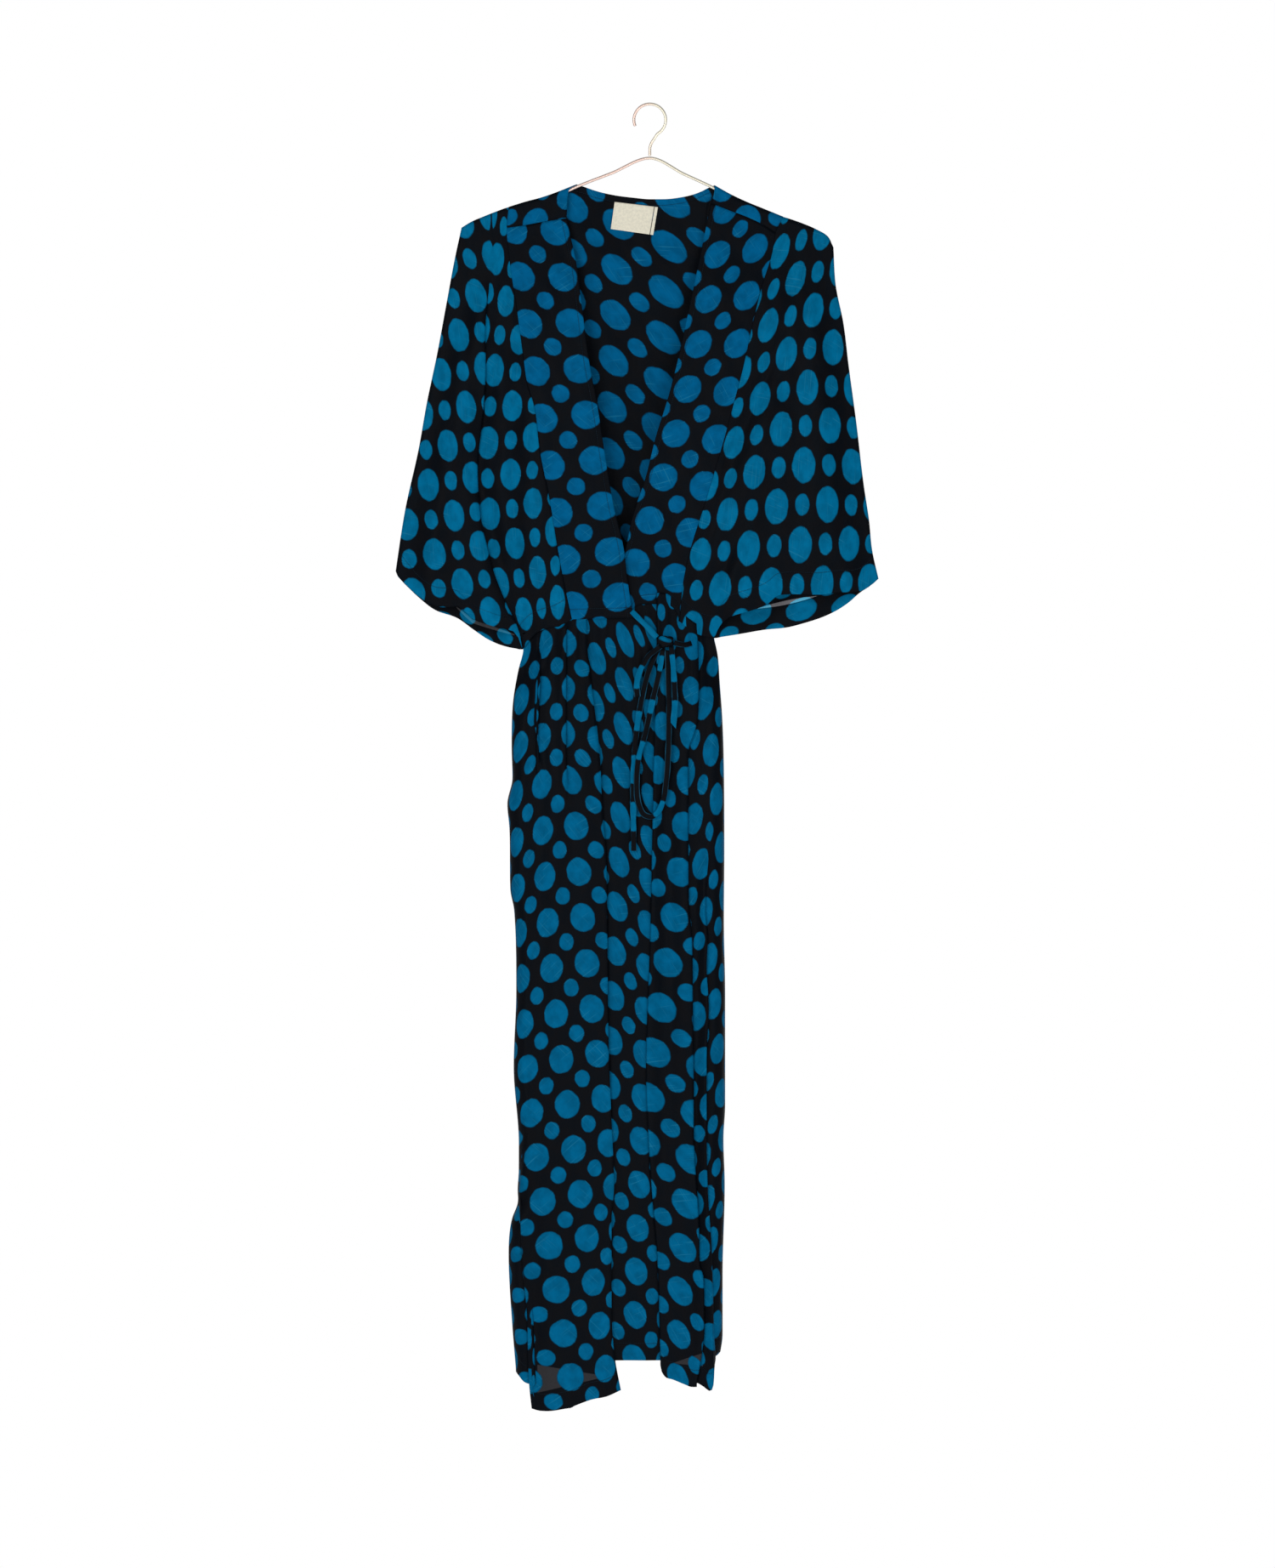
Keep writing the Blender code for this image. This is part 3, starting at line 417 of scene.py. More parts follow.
def back_depth(x, drop):
    """The back bodice: the same swell, and at the neckline a bow behind the wire."""
    share = np.clip((x - NECKLINE[0][0]) / (NECKLINE[-1][0] - NECKLINE[0][0]), 0, 1)
    below = drop - drop_at(TOP_LINE, x)
    bow = np.sin(math.pi * share)
    lip = BEHIND_WIRE * quarter(bow, 0.05) + (NECK_DEPTH - BEHIND_WIRE) * bow
    lip = lip * (1 - smooth(below / FILL_DOWN))
    return np.maximum(upper_depth(x, drop, BACK_FOLDS), lip + 0.5 * upper_depth(x, drop, []))


# %% Depth of the skirt
def below_waist(x, drop):
    """The drop less the skirt's top line and less the part that the bodice covers."""
    return drop - drop_at(SKIRT_TOP, x) - WAIST_COVER


def side_share(x, drop):
    """0 at a side seam, rising as a quarter circle to 1."""
    inside = np.minimum(x - x_at(SKIRT_LEFT, drop), x_at(SKIRT_RIGHT, drop) - x)
    return quarter(inside, 2 * SIDE_RADIUS - SIDE_RADIUS * smooth(below_waist(x, drop) / 60))


def skirt_depth(x, drop, lift_at_waist=0.0):
    """Tucked behind the bodice at the waist, then easing out to the skirt's own depth."""
    waist = upper_depth(x, drop, []) - TUCK - SIDE_TUCK * near_side(x, drop) + lift_at_waist
    low = through(*np.array(SKIRT_DEPTH, float).T, drop)
    fall = smooth(below_waist(x, drop) / SKIRT_EASE)
    return (waist + (low - waist) * fall) * side_share(x, drop)


def lapped(x, drop):
    """The front that laps over: the skirt's depth, lifted towards its edge."""
    reach = smooth((x - x_at(LAP_EDGE, drop) + LAP_REACH) / 60)
    return skirt_depth(x, drop) + LAP_LIFT * reach * smooth(below_waist(x, drop) / 60)


def under(x, drop):
    """The front beneath: the skirt's depth, sunk towards its edge at the waist."""
    reach = ARMHOLE_RIGHT[-1][0] - UNDER_EDGE[0][0]
    return skirt_depth(x, drop, -UNDER_DROP * smooth((ARMHOLE_RIGHT[-1][0] - x) / reach))


middle_depth = skirt_depth(np.array(-35.0), np.array(1000.0))
print(f"skirt's depth at its middle: {float(middle_depth):.1f} mm")

# %% [markdown]
# ## Small life in the cloth
# Thin silk never hangs smooth. Gathers run down from the waist, long soft folds fall from them,
# a few creases from packing cross the skirt, and everything is a little crumpled. One function
# of x and drop moves every layer of a side together, so the layers never cut each other.

# %% Gathers, long folds, creases and crumples
GATHER, GATHER_RISE, GATHER_FADE = 10.5, 1.5, 55  # mm: wave length, height, run down to a third
LONG_FOLD, LONG_RISE = 37.0, 1.25
CREASE_RISE, CREASE_WIDTH = -0.45, 1.3
CRUMPLE, CRUMPLE_RISE = 46.0, 0.45
# Uneven spacing of the gathers: size in radians, mm of x for a radian, share of the seed
UNEVEN = [(0.9, 15.0, 1.0), (0.6, 6.1, 2.0)]
# Crumples of the bodice: rise, share of the drop, step of the seed, length
UPPER_CRUMPLES = [(0.75, 0.5, 0, 52.0), (0.22, 0.7, 9, 19.0)]
# Drop of each packing crease at the middle, and its slope
CREASES = [(709.5, 0.05), (873.5, -0.02), (979.5, 0.03), (1134.5, -0.015), (1292, 0.02)]


def waves(x, drop, seed, length, count=5):
    """A calm random swell of about 1: sines whose directions and phases come from a seed."""
    dice = np.random.default_rng(seed)
    total = np.zeros(np.shape(x))
    turns = dice.uniform(0, math.pi, count)
    sizes = dice.uniform(0.7, 1.5, count)
    phases = dice.uniform(0, 2 * math.pi, count)
    for turn, size, phase in zip(turns, sizes, phases):
        across = x * math.cos(turn) + drop * math.sin(turn)
        total = total + np.sin(2 * math.pi * across / (length * size) + phase)
    return total / math.sqrt(count)


def skirt_life(x, drop, seed):
    """Gathers: a wave across x of uneven width that fades below the waist. Long folds: a slower
    wave that leans with the drop. Creases: narrow level troughs."""
    below = np.maximum(below_waist(x, drop), 0)
    bend = sum(size * np.sin(x / length + times * seed) for size, length, times in UNEVEN)
    gather = np.sin(2 * math.pi * x / GATHER + bend + 0.004 * drop)
    sharp = gather + 0.35 * np.sin(4 * math.pi * x / GATHER + 2 * bend)
    strength = (0.5 + 0.5 * np.sin(x / 23.0 + 1.7 * seed) ** 2) * smooth(below / 14)
    close = GATHER_RISE * sharp * strength * np.exp(-below / GATHER_FADE)
    lean = 0.5 * np.sin(drop / 210.0 + seed) + 0.3 * np.sin(drop / 90.0)
    long = LONG_RISE * np.sin(2 * math.pi * x / LONG_FOLD + lean + 2.1 * seed)
    long = long * smooth((drop - 600) / 120)
    crease = 0.0
    for at, slope in CREASES:
        trough = CREASE_RISE * np.exp(-(((drop - at - slope * x) / CREASE_WIDTH) ** 2))
        crease = crease + trough * (0.6 + 0.4 * np.sin(x / 17.0 + at))
    crumple = CRUMPLE_RISE * waves(x, drop * 0.55, seed, CRUMPLE) * smooth((drop - 560) / 80)
    return (close + long + crease + crumple) * side_share(x, drop)


def upper_life(x, drop, seed):
    """Crumples, longer down than across, none where the cloth turns over the wire."""
    below = drop - drop_at(TOP_LINE, x)
    inside = np.minimum(x - x_at(OUTER_LEFT, drop), x_at(OUTER_RIGHT, drop) - x)
    calm = smooth((below - 6) / 60) * smooth((inside - 3) / 30)
    swell = sum(
        rise * waves(x, drop * squeeze, seed + step, length)
        for rise, squeeze, step, length in UPPER_CRUMPLES
    )
    return swell * calm


# %% [markdown]
# ## Where the print lies
# The print is a lattice: a large dot at every whole number of repeats across and down, and a small
# one between each four. Each area of the hanging dress has a bent lattice of its own. It is found
# from a few marks, and a mark is the centre of one dot: how many repeats across and down it lies,
# and its x and drop. Marks follow the photograph's dots, smoothed with their neighbours, and where
# a fold, an edge or the back hides the dots they are carried on from the ones beside them.

# %% Marks: repeats across, repeats down, x, drop
REPEAT = (50.0, 54.0)  # mm of cloth across and down
# Each area: the highest power of its terms (1 keeps it straight), then the box in which it bends
# (x low, x high, drop low, drop high), then its marks
MARKS = {
    "bodice_left": (2, (-131, -38, 113, 517), [
        (-1.5, 1.5, -120, 504), (-1, -2, -125.5, 306.5), (-0.5, -5.5, -132, 113),
        (-0.5, 1.5, -69, 496), (0, 2, -36.5, 516.5), (0.5, -5.5, -81.5, 113), (1, -4, -40, 190.5),
    ]),
    "bodice_right": (2, (1, 149, 73, 512), [
        (-2, -3, 0, 73.5), (-1, 1, -2.5, 268), (0.5, -2.5, 106.5, 84), (0.5, 1.5, 61, 300.5),
        (0.5, 5.5, -2, 510.5), (1.5, -2.5, 150, 73.5), (3, 4, 142.5, 467.5),
    ]),
    "back": (2, (-67, 22, 94, 386), [
        (-0.5, -2.5, -65, 93.5), (-0.5, 0.5, -69.5, 254.5), (-0.5, 2.5, -71.5, 364),
        (0, 0, -42.5, 238), (0.5, -2.5, -10, 115.5), (0.5, 2.5, -22.5, 386.5), (1, -3, 22.5, 103.5),
        (1, 1, 9, 318.5), (1, 2, 6.5, 373.5),
    ]),
    "skirt_left": (3, (-156, -49, 548, 1459), [
        (-3, 8, -160, 1337.5), (-2.5, 3.5, -161.5, 1104), (-2.5, 10.5, -113, 1461.5),
        (-2, -6, -155.5, 584.5), (-2, 5, -133.5, 1175), (-1, 6, -81.5, 1217.5),
        (-1, 10, -52.5, 1423), (-0.5, -6.5, -107, 543.5), (-0.5, 7.5, -50.5, 1291),
        (0, -1, -83.5, 839.5), (0.5, -6.5, -65, 554.5), (1, -3, -43.5, 741),
    ]),
    "skirt_middle": (3, (-64, 4, 562, 1412), [
        (-1, -7, -62.5, 589), (-1, -4, -69.5, 753.5), (-0.5, 1.5, -67.5, 1055.5), (0, -7, -30, 619),
        (0, 8, -63, 1390.5), (0.5, 3.5, -31, 1174.5), (0.5, 7.5, -38.5, 1379), (1, -9, 4, 561.5),
        (1, -4, 0.5, 803.5), (1.5, 2.5, 8.5, 1136), (1.5, 7.5, 1.5, 1389),
    ]),
    "skirt_right": (3, (8, 48, 598, 1370), [
        (-2, -7, -5.5, 604), (-1.5, -7.5, 9, 585.5), (-1.5, -5.5, -2.5, 687),
        (-0.5, -7.5, 35, 596.5), (-0.5, -3.5, 16.5, 805), (-0.5, -1.5, 1, 911),
        (0, -7, 48.5, 626.5), (0, -3, 34.5, 840.5), (0, 2, -1.5, 1104), (0.5, -3.5, 60.5, 818.5),
        (0.5, 1.5, 30.5, 1088), (0.5, 2.5, 24, 1141), (0.5, 6.5, 13, 1347.5), (1, 1, 62, 1071),
        (1, 5, 38.5, 1281), (1, 7, 34.5, 1383), (1.5, 5.5, 59.5, 1318), (1.5, 6.5, 55.5, 1368.5),
    ]),
    "skirt_edge": (2, (46, 74, 598, 1386), [
        (-1.5, 5.5, 43.5, 1307.5), (-1, 7, 72.5, 1385.5), (-0.5, 0.5, 41.5, 1043),
        (0.5, -1.5, 58, 921), (1, -1, 79, 938.5), (1.5, -6.5, 43.5, 631.5), (2.5, -6.5, 72.5, 598),
    ]),
    "skirt_side": (2, (64, 90, 598, 1372), [
        (-0.5, 6.5, 60, 1362.5), (0, 7, 79.5, 1370.5), (0.5, 0.5, 63.5, 1034),
        (0.5, 6.5, 93.5, 1331), (1, 0, 76, 995), (1.5, -4.5, 62, 736.5), (1.5, 0.5, 93, 1007.5),
        (2, -6, 65.5, 638.5), (2.5, -6.5, 75, 598.5), (3, -6, 92, 617.5),
    ]),
    "skirt_back": (1, (-165, 88, 545, 1410), [
        (-2.5, -7.5, -161.5, 570.5), (-2, 8, -161.5, 1408), (2.5, -5.5, 87.5, 694.5),
        (2.5, 7.5, 66, 1396),
    ]),
    "sleeve_right": (3, (82, 239, 132, 506), [
        (-6.5, -0.5, 79.5, 165.5), (-5.5, -1.5, 128, 126.5), (-4, 1, 78, 305.5),
        (-3.5, -0.5, 133.5, 240.5), (-3, -3, 223, 130.5), (-2.5, -1.5, 188.5, 225),
        (-2, -3, 244.5, 179), (-2, 2, 91, 420), (-1, 3, 82.5, 506.5), (-0.5, -1.5, 239, 317),
        (-0.5, 2.5, 112, 505), (0, 1, 176.5, 455), (1, 0, 235, 454), (1.5, 0.5, 230.5, 499.5),
    ]),
    "yoke_left": (1, (-166, -96, 40, 76), [
        (-0.5, -0.5, -165, 70), (0, -1, -154.5, 35), (1, 0, -94.5, 45),
    ]),
    "yoke_right": (1, (82, 148, 36, 72), [
        (-1, 0, 82.5, 36.5), (0, -1, 148.5, 38.5), (0.5, -0.5, 148.5, 71.5),
    ]),
    "cuff_right": (1, (80, 245, 515, 600), [
        (-0.5, -0.5, 104, 514), (-0.5, 1.5, 83, 604.5), (1.5, -0.5, 210.5, 506),
        (2.5, 0.5, 253.5, 547.5), (2.5, 1.5, 243, 592.5),
    ]),
    "cuff_left": (1, (-250, -150, 520, 590), [
        (-1.5, 0.5, -258.5, 515.5), (-1, 2, -248.5, 590.5), (1, 1, -152.5, 595.5),
    ]),
    "sleeve_left": (3, (-285, -183, 117, 532), [
        (-3, -3, -291, 134.5), (-2.5, -3.5, -265.5, 127.5), (-2, -4, -239, 122),
        (-1.5, -4.5, -212, 118.5), (-1.5, -1.5, -271, 259.5), (-1, -5, -183.5, 117),
        (-1, -3, -225, 208.5), (-1, -1, -267, 301.5), (-0.5, -3.5, -199, 205.5),
        (-0.5, 0.5, -288.5, 390), (0, -3, -194.5, 248.5), (0, 1, -286, 431), (1, 2, -279, 512.5),
        (1.5, -1.5, -184, 372.5), (1.5, -0.5, -204.5, 417), (1.5, 0.5, -225.5, 461.5),
        (1.5, 1.5, -248, 506.5), (2, -1, -180, 412.5), (2, 1, -220.5, 501.5), (3, 1, -187.5, 534),
    ]),
    "sleeve_left_inner": (3, (-193, -107, 120, 536), [
        (-1, -5, -180, 119), (0, -7, -118, 117), (0, -4, -198.5, 202), (0.5, -5.5, -148.5, 176.5),
        (1.5, -6.5, -104, 188), (1.5, -4.5, -158, 252.5), (2, -3, -190.5, 335.5),
        (3.5, -4.5, -113.5, 325), (3.5, -2.5, -162, 413), (3.5, -1.5, -183.5, 459.5),
        (4.5, -2.5, -135, 446.5), (4.5, -0.5, -169, 542), (5, -3, -113, 439),
        (5, -1, -147.5, 536.5), (6, -2, -108.5, 522.5),
    ]),
}
# Beside a tuck the print lies over: its own area, then rows of (repeats across, down, drop)
TUCKED = {
    "waist_left": ("skirt_left", [(-0.2, 0, 545), (-0.2, 0, 690), (0, 0, 740)]),
    "waist_right": ("skirt_left", [(0.28, 0, 545), (0.28, 0, 700), (0, 0, 760)]),
    "side_left": ("skirt_left", [
        (-0.2, 0, 545), (-0.2, 0, 690), (0, 0, 740), (0, 0, 1150), (0.21, 0.36, 1241),
        (0.36, 0.44, 1289), (0.44, 0.5, 1337), (0.5, 0.53, 1386),
    ]),
}
CALM = 0.003  # what a bend costs against a miss, so that an area bends only as its marks ask
print("marks:", sum(len(marks) for _, _, marks in MARKS.values()))


# %% Lattices from the marks
def powers(degree):
    """Every pair of powers whose sum is at most the degree."""
    return [(i, j) for i in range(degree + 1) for j in range(degree + 1 - i)]


def terms(area, x, drop):
    """The products u^i * v^j, with u and v in hundreds of mm from the middle of the area's box."""
    degree, (low, high, top, bottom), _ = MARKS[area]
    u, v = (x - (low + high) / 2) / 100, (drop - (top + bottom) / 2) / 100
    return np.stack([u ** i * v ** j for i, j in powers(degree)], -1)


def fitted(area):
    """The share of each term in the repeats: least squares, which makes the sum of the marks'
    squared misses, plus CALM times the squared shares of the bent terms, as small as it can be."""
    degree, _, marks = MARKS[area]
    across, down, x, drop = np.array(marks, float).T
    known = terms(area, x, drop)
    cost = np.diag([CALM * (i + j > 1) + 1e-6 for i, j in powers(degree)])
    return np.linalg.solve(known.T @ known + cost, known.T @ np.stack([across, down], -1))


SHARES = {area: fitted(area) for area in MARKS}


def lattice(area, x, drop):
    """Repeats across and down at a place: the sum of the area's terms times their shares, with a
    straight continuation outside the area's box."""
    if area in TUCKED:
        area, rows = TUCKED[area]
        across, down, at = np.array(rows, float).T
        moved = np.stack([np.interp(drop, at, across), np.interp(drop, at, down)], -1)
        return lattice(area, x, drop) + moved
    low, high, top, bottom = MARKS[area][1]

    def inside(x, drop):
        return terms(area, x, drop) @ SHARES[area]

    near_x, near_drop = np.clip(x, low, high), np.clip(drop, top, bottom)
    slope_x = inside(near_x + 0.5, near_drop) - inside(near_x - 0.5, near_drop)
    slope_drop = inside(near_x, near_drop + 0.5) - inside(near_x, near_drop - 0.5)
    beyond_x, beyond_drop = (x - near_x)[..., None], (drop - near_drop)[..., None]
    return inside(near_x, near_drop) + slope_x * beyond_x + slope_drop * beyond_drop


miss = 0.0
for area, (_, _, marks) in MARKS.items():
    across, down, x, drop = np.array(marks, float).T
    off = (terms(area, x, drop) @ SHARES[area] - np.stack([across, down], -1)) * REPEAT
    miss = max(miss, np.abs(off).max())
print(f"areas with a lattice: {len(MARKS)}, farthest mark {miss:.1f} mm off")

# %% [markdown]
# ## From grids to cloth
# Each panel is one or two grids of points. A grid becomes quads, grids that meet are welded, and
# every face keeps two maps: Print, in repeats of the pattern, and Seam, the run along the nearest
# line of stitches and the distance from it. A Solidify modifier then gives the sheet a thin wall.

# %% Panels from grids
CLOTH = 0.45  # mm, three times real silk, so that no light leaks between the faces
WELD = 0.02  # mm: points nearer than this are one


def cloth(name, grids, material, wall=CLOTH, inside=None):
    """grids: (points, print, seam, outward sign in depth) with points as x, depth, drop in mm.
    The wall's inner face takes the material inside, where one is given."""
    places, faces, prints, seams = [], [], [], []
    first = 0
    for points, print_map, seam_map, outward in grids:
        rows, columns = points.shape[:2]
        number = np.arange(rows * columns).reshape(rows, columns) + first
        quads = np.stack([number[:-1, :-1], number[:-1, 1:], number[1:, 1:], number[1:, :-1]], -1)
        down = points[1:, :-1] - points[:-1, :-1]
        right = points[:-1, 1:] - points[:-1, :-1]
        facing = -np.sum(right[..., 0] * down[..., 2] - right[..., 2] * down[..., 0])
        quads = quads.reshape(-1, 4)
        if facing * outward > 0:
            quads = quads[:, ::-1]
        places.append(points.reshape(-1, 3))
        prints.append(print_map.reshape(-1, 2))
        seams.append(seam_map.reshape(-1, 2))
        faces.append(quads)
        first += rows * columns
    places, faces = np.concatenate(places), np.concatenate(faces)
    prints, seams = np.concatenate(prints), np.concatenate(seams)
    cells = np.round(places / WELD).astype(int)
    _, kept, welded = np.unique(cells, axis=0, return_index=True, return_inverse=True)
    welded = welded.reshape(-1)
    corners = welded[faces]
    whole = np.array([corners[:, i] != corners[:, i - 1] for i in range(4)]).all(axis=0)
    corners, faces = corners[whole], faces[whole]
    x, depth, drop = places[kept].T
    mesh = bpy.data.meshes.new(name)
    mesh.vertices.add(len(kept))
    mesh.vertices.foreach_set("co", (np.stack([x, depth, -(HOOK_RISE + drop)], -1) * MM).ravel())
    mesh.loops.add(corners.size)
    mesh.loops.foreach_set("vertex_index", corners.ravel().astype(np.int32))
    mesh.polygons.add(len(corners))
    mesh.polygons.foreach_set("loop_start", np.arange(0, corners.size, 4, dtype=np.int32))
    mesh.update(calc_edges=True)
    for layer, values in (("Print", prints), ("Seam", seams)):
        mesh.uv_layers.new(name=layer).data.foreach_set("uv", values[faces.ravel()].ravel())
    mesh.validate()
    mesh.shade_smooth()
    mesh.materials.append(material)
    piece = bpy.data.objects.new(name, mesh)
    bpy.context.scene.collection.objects.link(piece)
    if wall:
        solid = piece.modifiers.new("Wall", "SOLIDIFY")
        solid.thickness, solid.offset = wall * MM, 0
        if inside:
            mesh.materials.append(inside)
            solid.material_offset = 1
    corner = places[kept][corners]
    flat = np.cross(corner[:, 2] - corner[:, 0], corner[:, 3] - corner[:, 1])
    area = np.linalg.norm(flat, axis=-1).sum() / 2 * MM * MM
    print(f"{name}: {len(mesh.polygons)} faces, {area:.4f} square metres")
    return piece


def refine(control, spacing):
    """More columns: across each row a cubic through its points, by the chords between them, and
    each stretch is cut into steps of about the spacing. Also gives each column's place in the
    control columns as a whole number and a fraction."""
    chords = np.linalg.norm(np.diff(control, axis=1), axis=-1) + 1e-6
    slopes = np.diff(control, axis=1) / chords[..., None]
    before, after = chords[:, :-1, None], chords[:, 1:, None]
    inner = (slopes[:, :-1] * after + slopes[:, 1:] * before) / (before + after)
    slopes = np.concatenate([slopes[:, :1], inner, slopes[:, -1:]], axis=1)
    counts = np.maximum(1, np.round(chords.mean(axis=0) / spacing)).astype(int)
    stretch = np.append(np.repeat(np.arange(len(counts)), counts), len(counts) - 1)
    share = np.append(np.concatenate([np.arange(n) / n for n in counts]), 1.0)
    t, chord = share[None, :, None], chords[:, stretch, None]
    fine = (
        (1 + 2 * t) * (1 - t) ** 2 * control[:, stretch]
        + t * (1 - t) ** 2 * chord * slopes[:, stretch]
        + t * t * (3 - 2 * t) * control[:, stretch + 1]
        - t * t * (1 - t) * chord * slopes[:, stretch + 1]
    )
    return fine, stretch, share


def blended_print(areas, stretch, share, x, drop):
    """Each control column has an area. Between two columns of one area its lattice holds, and
    between two areas, hidden in a fold, one passes into the other."""
    names = sorted(set(areas))
    own = np.array([names.index(area) for area in areas])
    weights = np.zeros((len(names), len(stretch)))
    columns = np.arange(len(stretch))
    weights[own[stretch], columns] += 1 - share
    weights[own[stretch + 1], columns] += share
    return sum(weights[i][None, :, None] * lattice(name, x, drop) for i, name in enumerate(names))


def no_seam(print_map):
    """A Seam map that lies a metre from any stitches."""
    return np.full(print_map.shape, 1.0)


def seam_map(points, bottom=None, side=None, top=None):
    """The run along the nearest line of stitches and the distance from it, both in metres. Lines
    lie at a distance from the last row (bottom), from the last column (side) or the first row."""
    step = np.linalg.norm(np.diff(points, axis=0), axis=-1)
    start = np.concatenate([np.zeros((1, points.shape[1])), np.cumsum(step, axis=0)])
    reach = np.linalg.norm(np.diff(points, axis=1), axis=-1)
    run = np.concatenate([np.zeros((len(points), 1)), np.cumsum(reach, axis=1)], axis=1)
    off, along_line = np.full(run.shape, 1000.0), run
    choices = []
    if bottom is not None:
        choices.append((start[-1:] - start - bottom, run))
    if top is not None:
        choices.append((start - top, run))
    if side is not None:
        choices.append((run[:, -1:] - run - side, start))
    for distance, length in choices:
        nearer = np.abs(distance) < np.abs(off)
        off, along_line = np.where(nearer, distance, off), np.where(nearer, length, along_line)
    return np.stack([along_line, off], axis=-1) * MM


# %% [markdown]
# ## The silk
# The cloth is thin silk crepe, printed with blue dots on near-black. It is printed, not woven, so
# the dots share the ground's surface. The shader measures the distance from the nearest large and
# the nearest small dot's centre, in millimetres of cloth, and paints inside a slightly uneven
# radius. Crepe grain, fine painted highlight streaks and stitches come from noise and the Seam map.


# %% A short way to write shader maths
class Maker:
    """Adds nodes to one material and links them."""

    def __init__(self, name):
        self.material = bpy.data.materials.new(name)
        self.material.use_nodes = True
        self.tree = self.material.node_tree
        self.shader = self.tree.nodes["Principled BSDF"]

    def put(self, value, socket):
        """Links another node's output to the socket, or sets its number or colour."""
        if isinstance(value, bpy.types.NodeSocket):
            self.tree.links.new(value, socket)
        elif value is not None:
            socket.default_value = value

    def math(self, kind, a, b=None, c=None):
        """One step of arithmetic on numbers."""
        node = self.tree.nodes.new("ShaderNodeMath")
        node.operation = kind
        for value, socket in zip((a, b, c), node.inputs):
            self.put(value, socket)
        return node.outputs[0]

    def vector(self, kind, a, b=None, result="Vector"):
        """One step of arithmetic on places or colours."""
        node = self.tree.nodes.new("ShaderNodeVectorMath")
        node.operation = kind
        self.put(a, node.inputs[0])
        self.put(b, node.inputs[1])
        return node.outputs[result]

    def noise(self, at, scale, detail=2.0, rough=0.5, result="Fac"):
        """Cloudy noise of about 0 to 1, scale clouds to a unit of the place."""
        node = self.tree.nodes.new("ShaderNodeTexNoise")
        self.put(at, node.inputs["Vector"])
        node.inputs["Scale"].default_value = scale
        node.inputs["Detail"].default_value = detail
        node.inputs["Roughness"].default_value = rough
        return node.outputs[result]

    def ramp(self, value, low, high, to_low=0.0, to_high=1.0):
        """From to_low to to_high as the value goes from low to high, with level ends."""
        node = self.tree.nodes.new("ShaderNodeMapRange")
        node.interpolation_type = "SMOOTHSTEP"
        self.put(value, node.inputs["Value"])
        names = ("From Min", "From Max", "To Min", "To Max")
        for name, number in zip(names, (low, high, to_low, to_high)):
            node.inputs[name].default_value = number
        return node.outputs["Result"]

    def mix(self, share, a, b):
        """Colour a at share 0, colour b at share 1."""
        node = self.tree.nodes.new("ShaderNodeMix")
        node.data_type = "RGBA"
        self.put(share, node.inputs["Factor"])
        self.put(a, node.inputs[6])
        self.put(b, node.inputs[7])
        return node.outputs[2]

    def bump(self, height, strength, size, below=None):
        """The shading of a surface raised by height times size in metres."""
        node = self.tree.nodes.new("ShaderNodeBump")
        node.inputs["Strength"].default_value = strength
        node.inputs["Distance"].default_value = size
        self.put(height, node.inputs["Height"])
        self.put(below, node.inputs["Normal"])
        return node.outputs["Normal"]

    def uv(self, name):
        """The place in one of the panel's maps."""
        node = self.tree.nodes.new("ShaderNodeUVMap")
        node.uv_map = name
        return node.outputs["UV"]

    def parts(self, vector):
        """The three numbers of a place."""
        node = self.tree.nodes.new("ShaderNodeSeparateXYZ")
        self.put(vector, node.inputs[0])
        return node.outputs

    def object_place(self):
        """x, y and z in metres."""
        return self.tree.nodes.new("ShaderNodeTexCoord").outputs["Object"]

    def finish(self, **values):
        """Sets or links the shader's inputs, named with _ for a space."""
        for name, value in values.items():
            self.put(value, self.shader.inputs[name.replace("_", " ")])
        return self.material


def shade(color, red, green=None, blue=None):
    """A colour times one number, or times three."""
    times = (red, red if green is None else green, red if blue is None else blue)
    return tuple(min(1, c * k) for c, k in zip(color, times)) + (1,)


# %% The print
LARGE, SMALL = 17.0, 10.5  # radius of the dots in mm of cloth
DOTS = [(LARGE, 0.5, 1.5), (SMALL, 0.0, 1.4)]  # radius, shift in repeats, width of the dark rim
DOT_EDGE = 0.35  # mm, half the soft edge of a dot
WOBBLE = 0.045  # repeats by which a dot's outline strays
SHEEN_STREAKS = [(0.5, 0.55), (-0.85, 0.7)]  # angle of the fine painted highlight streaks on the dots, and how many cross each mm
GROUND = (0.0022, 0.0036, 0.006, 1)
BLUE_BODICE = (0.0, 0.098, 0.235, 1)
BLUE_SLEEVE = (0.0, 0.13, 0.27, 1)
BLUE_SKIRT = (0.0, 0.108, 0.235, 1)
# Painted highlight: the pale blue of the fine sheen streaks on the dots
HIGHLIGHT_STREAK_BLUE = (0.015, 0.19, 0.33, 1)
THREAD = (0.012, 0.022, 0.032, 1)
TIE_EDGE = (0.02, 0.17, 0.3, 1)
LIT_GROUND, LIT_SLEEVE_DOT = (0.2, 0.19, 0.2, 1), (0.13, 0.55, 0.8, 1)
STITCH, GROOVE = 0.00125, 0.0011  # metres: half a stitch with its gap, half the seam's groove
# Where one layer of cloth lets light through: side in depth (1 back, -1 front), x and drop at both
# ends, half height at both ends and extra in the middle (mm), share of light
SHEER = {
    "silk_sleeve_inside": [
        (1, -228, 528, -209, 545, 0.5, 2.0, 0.6, 0.3),
        (1, -210, 544.5, -159, 561, 2.0, 0.5, 0.6, 0.3),
        (1, 126, 530, 197.5, 515, 0, 0, 2.3, 1.0),
    ],
    "silk_skirt": [
        (-1, -132.5, 1435, -52.5, 1432, 16.5, 0.5, 0, 0.14),
        (-1, 28.5, 1416.5, 62.5, 1412.5, 0.5, 8, 0, 0.14),
    ],
}


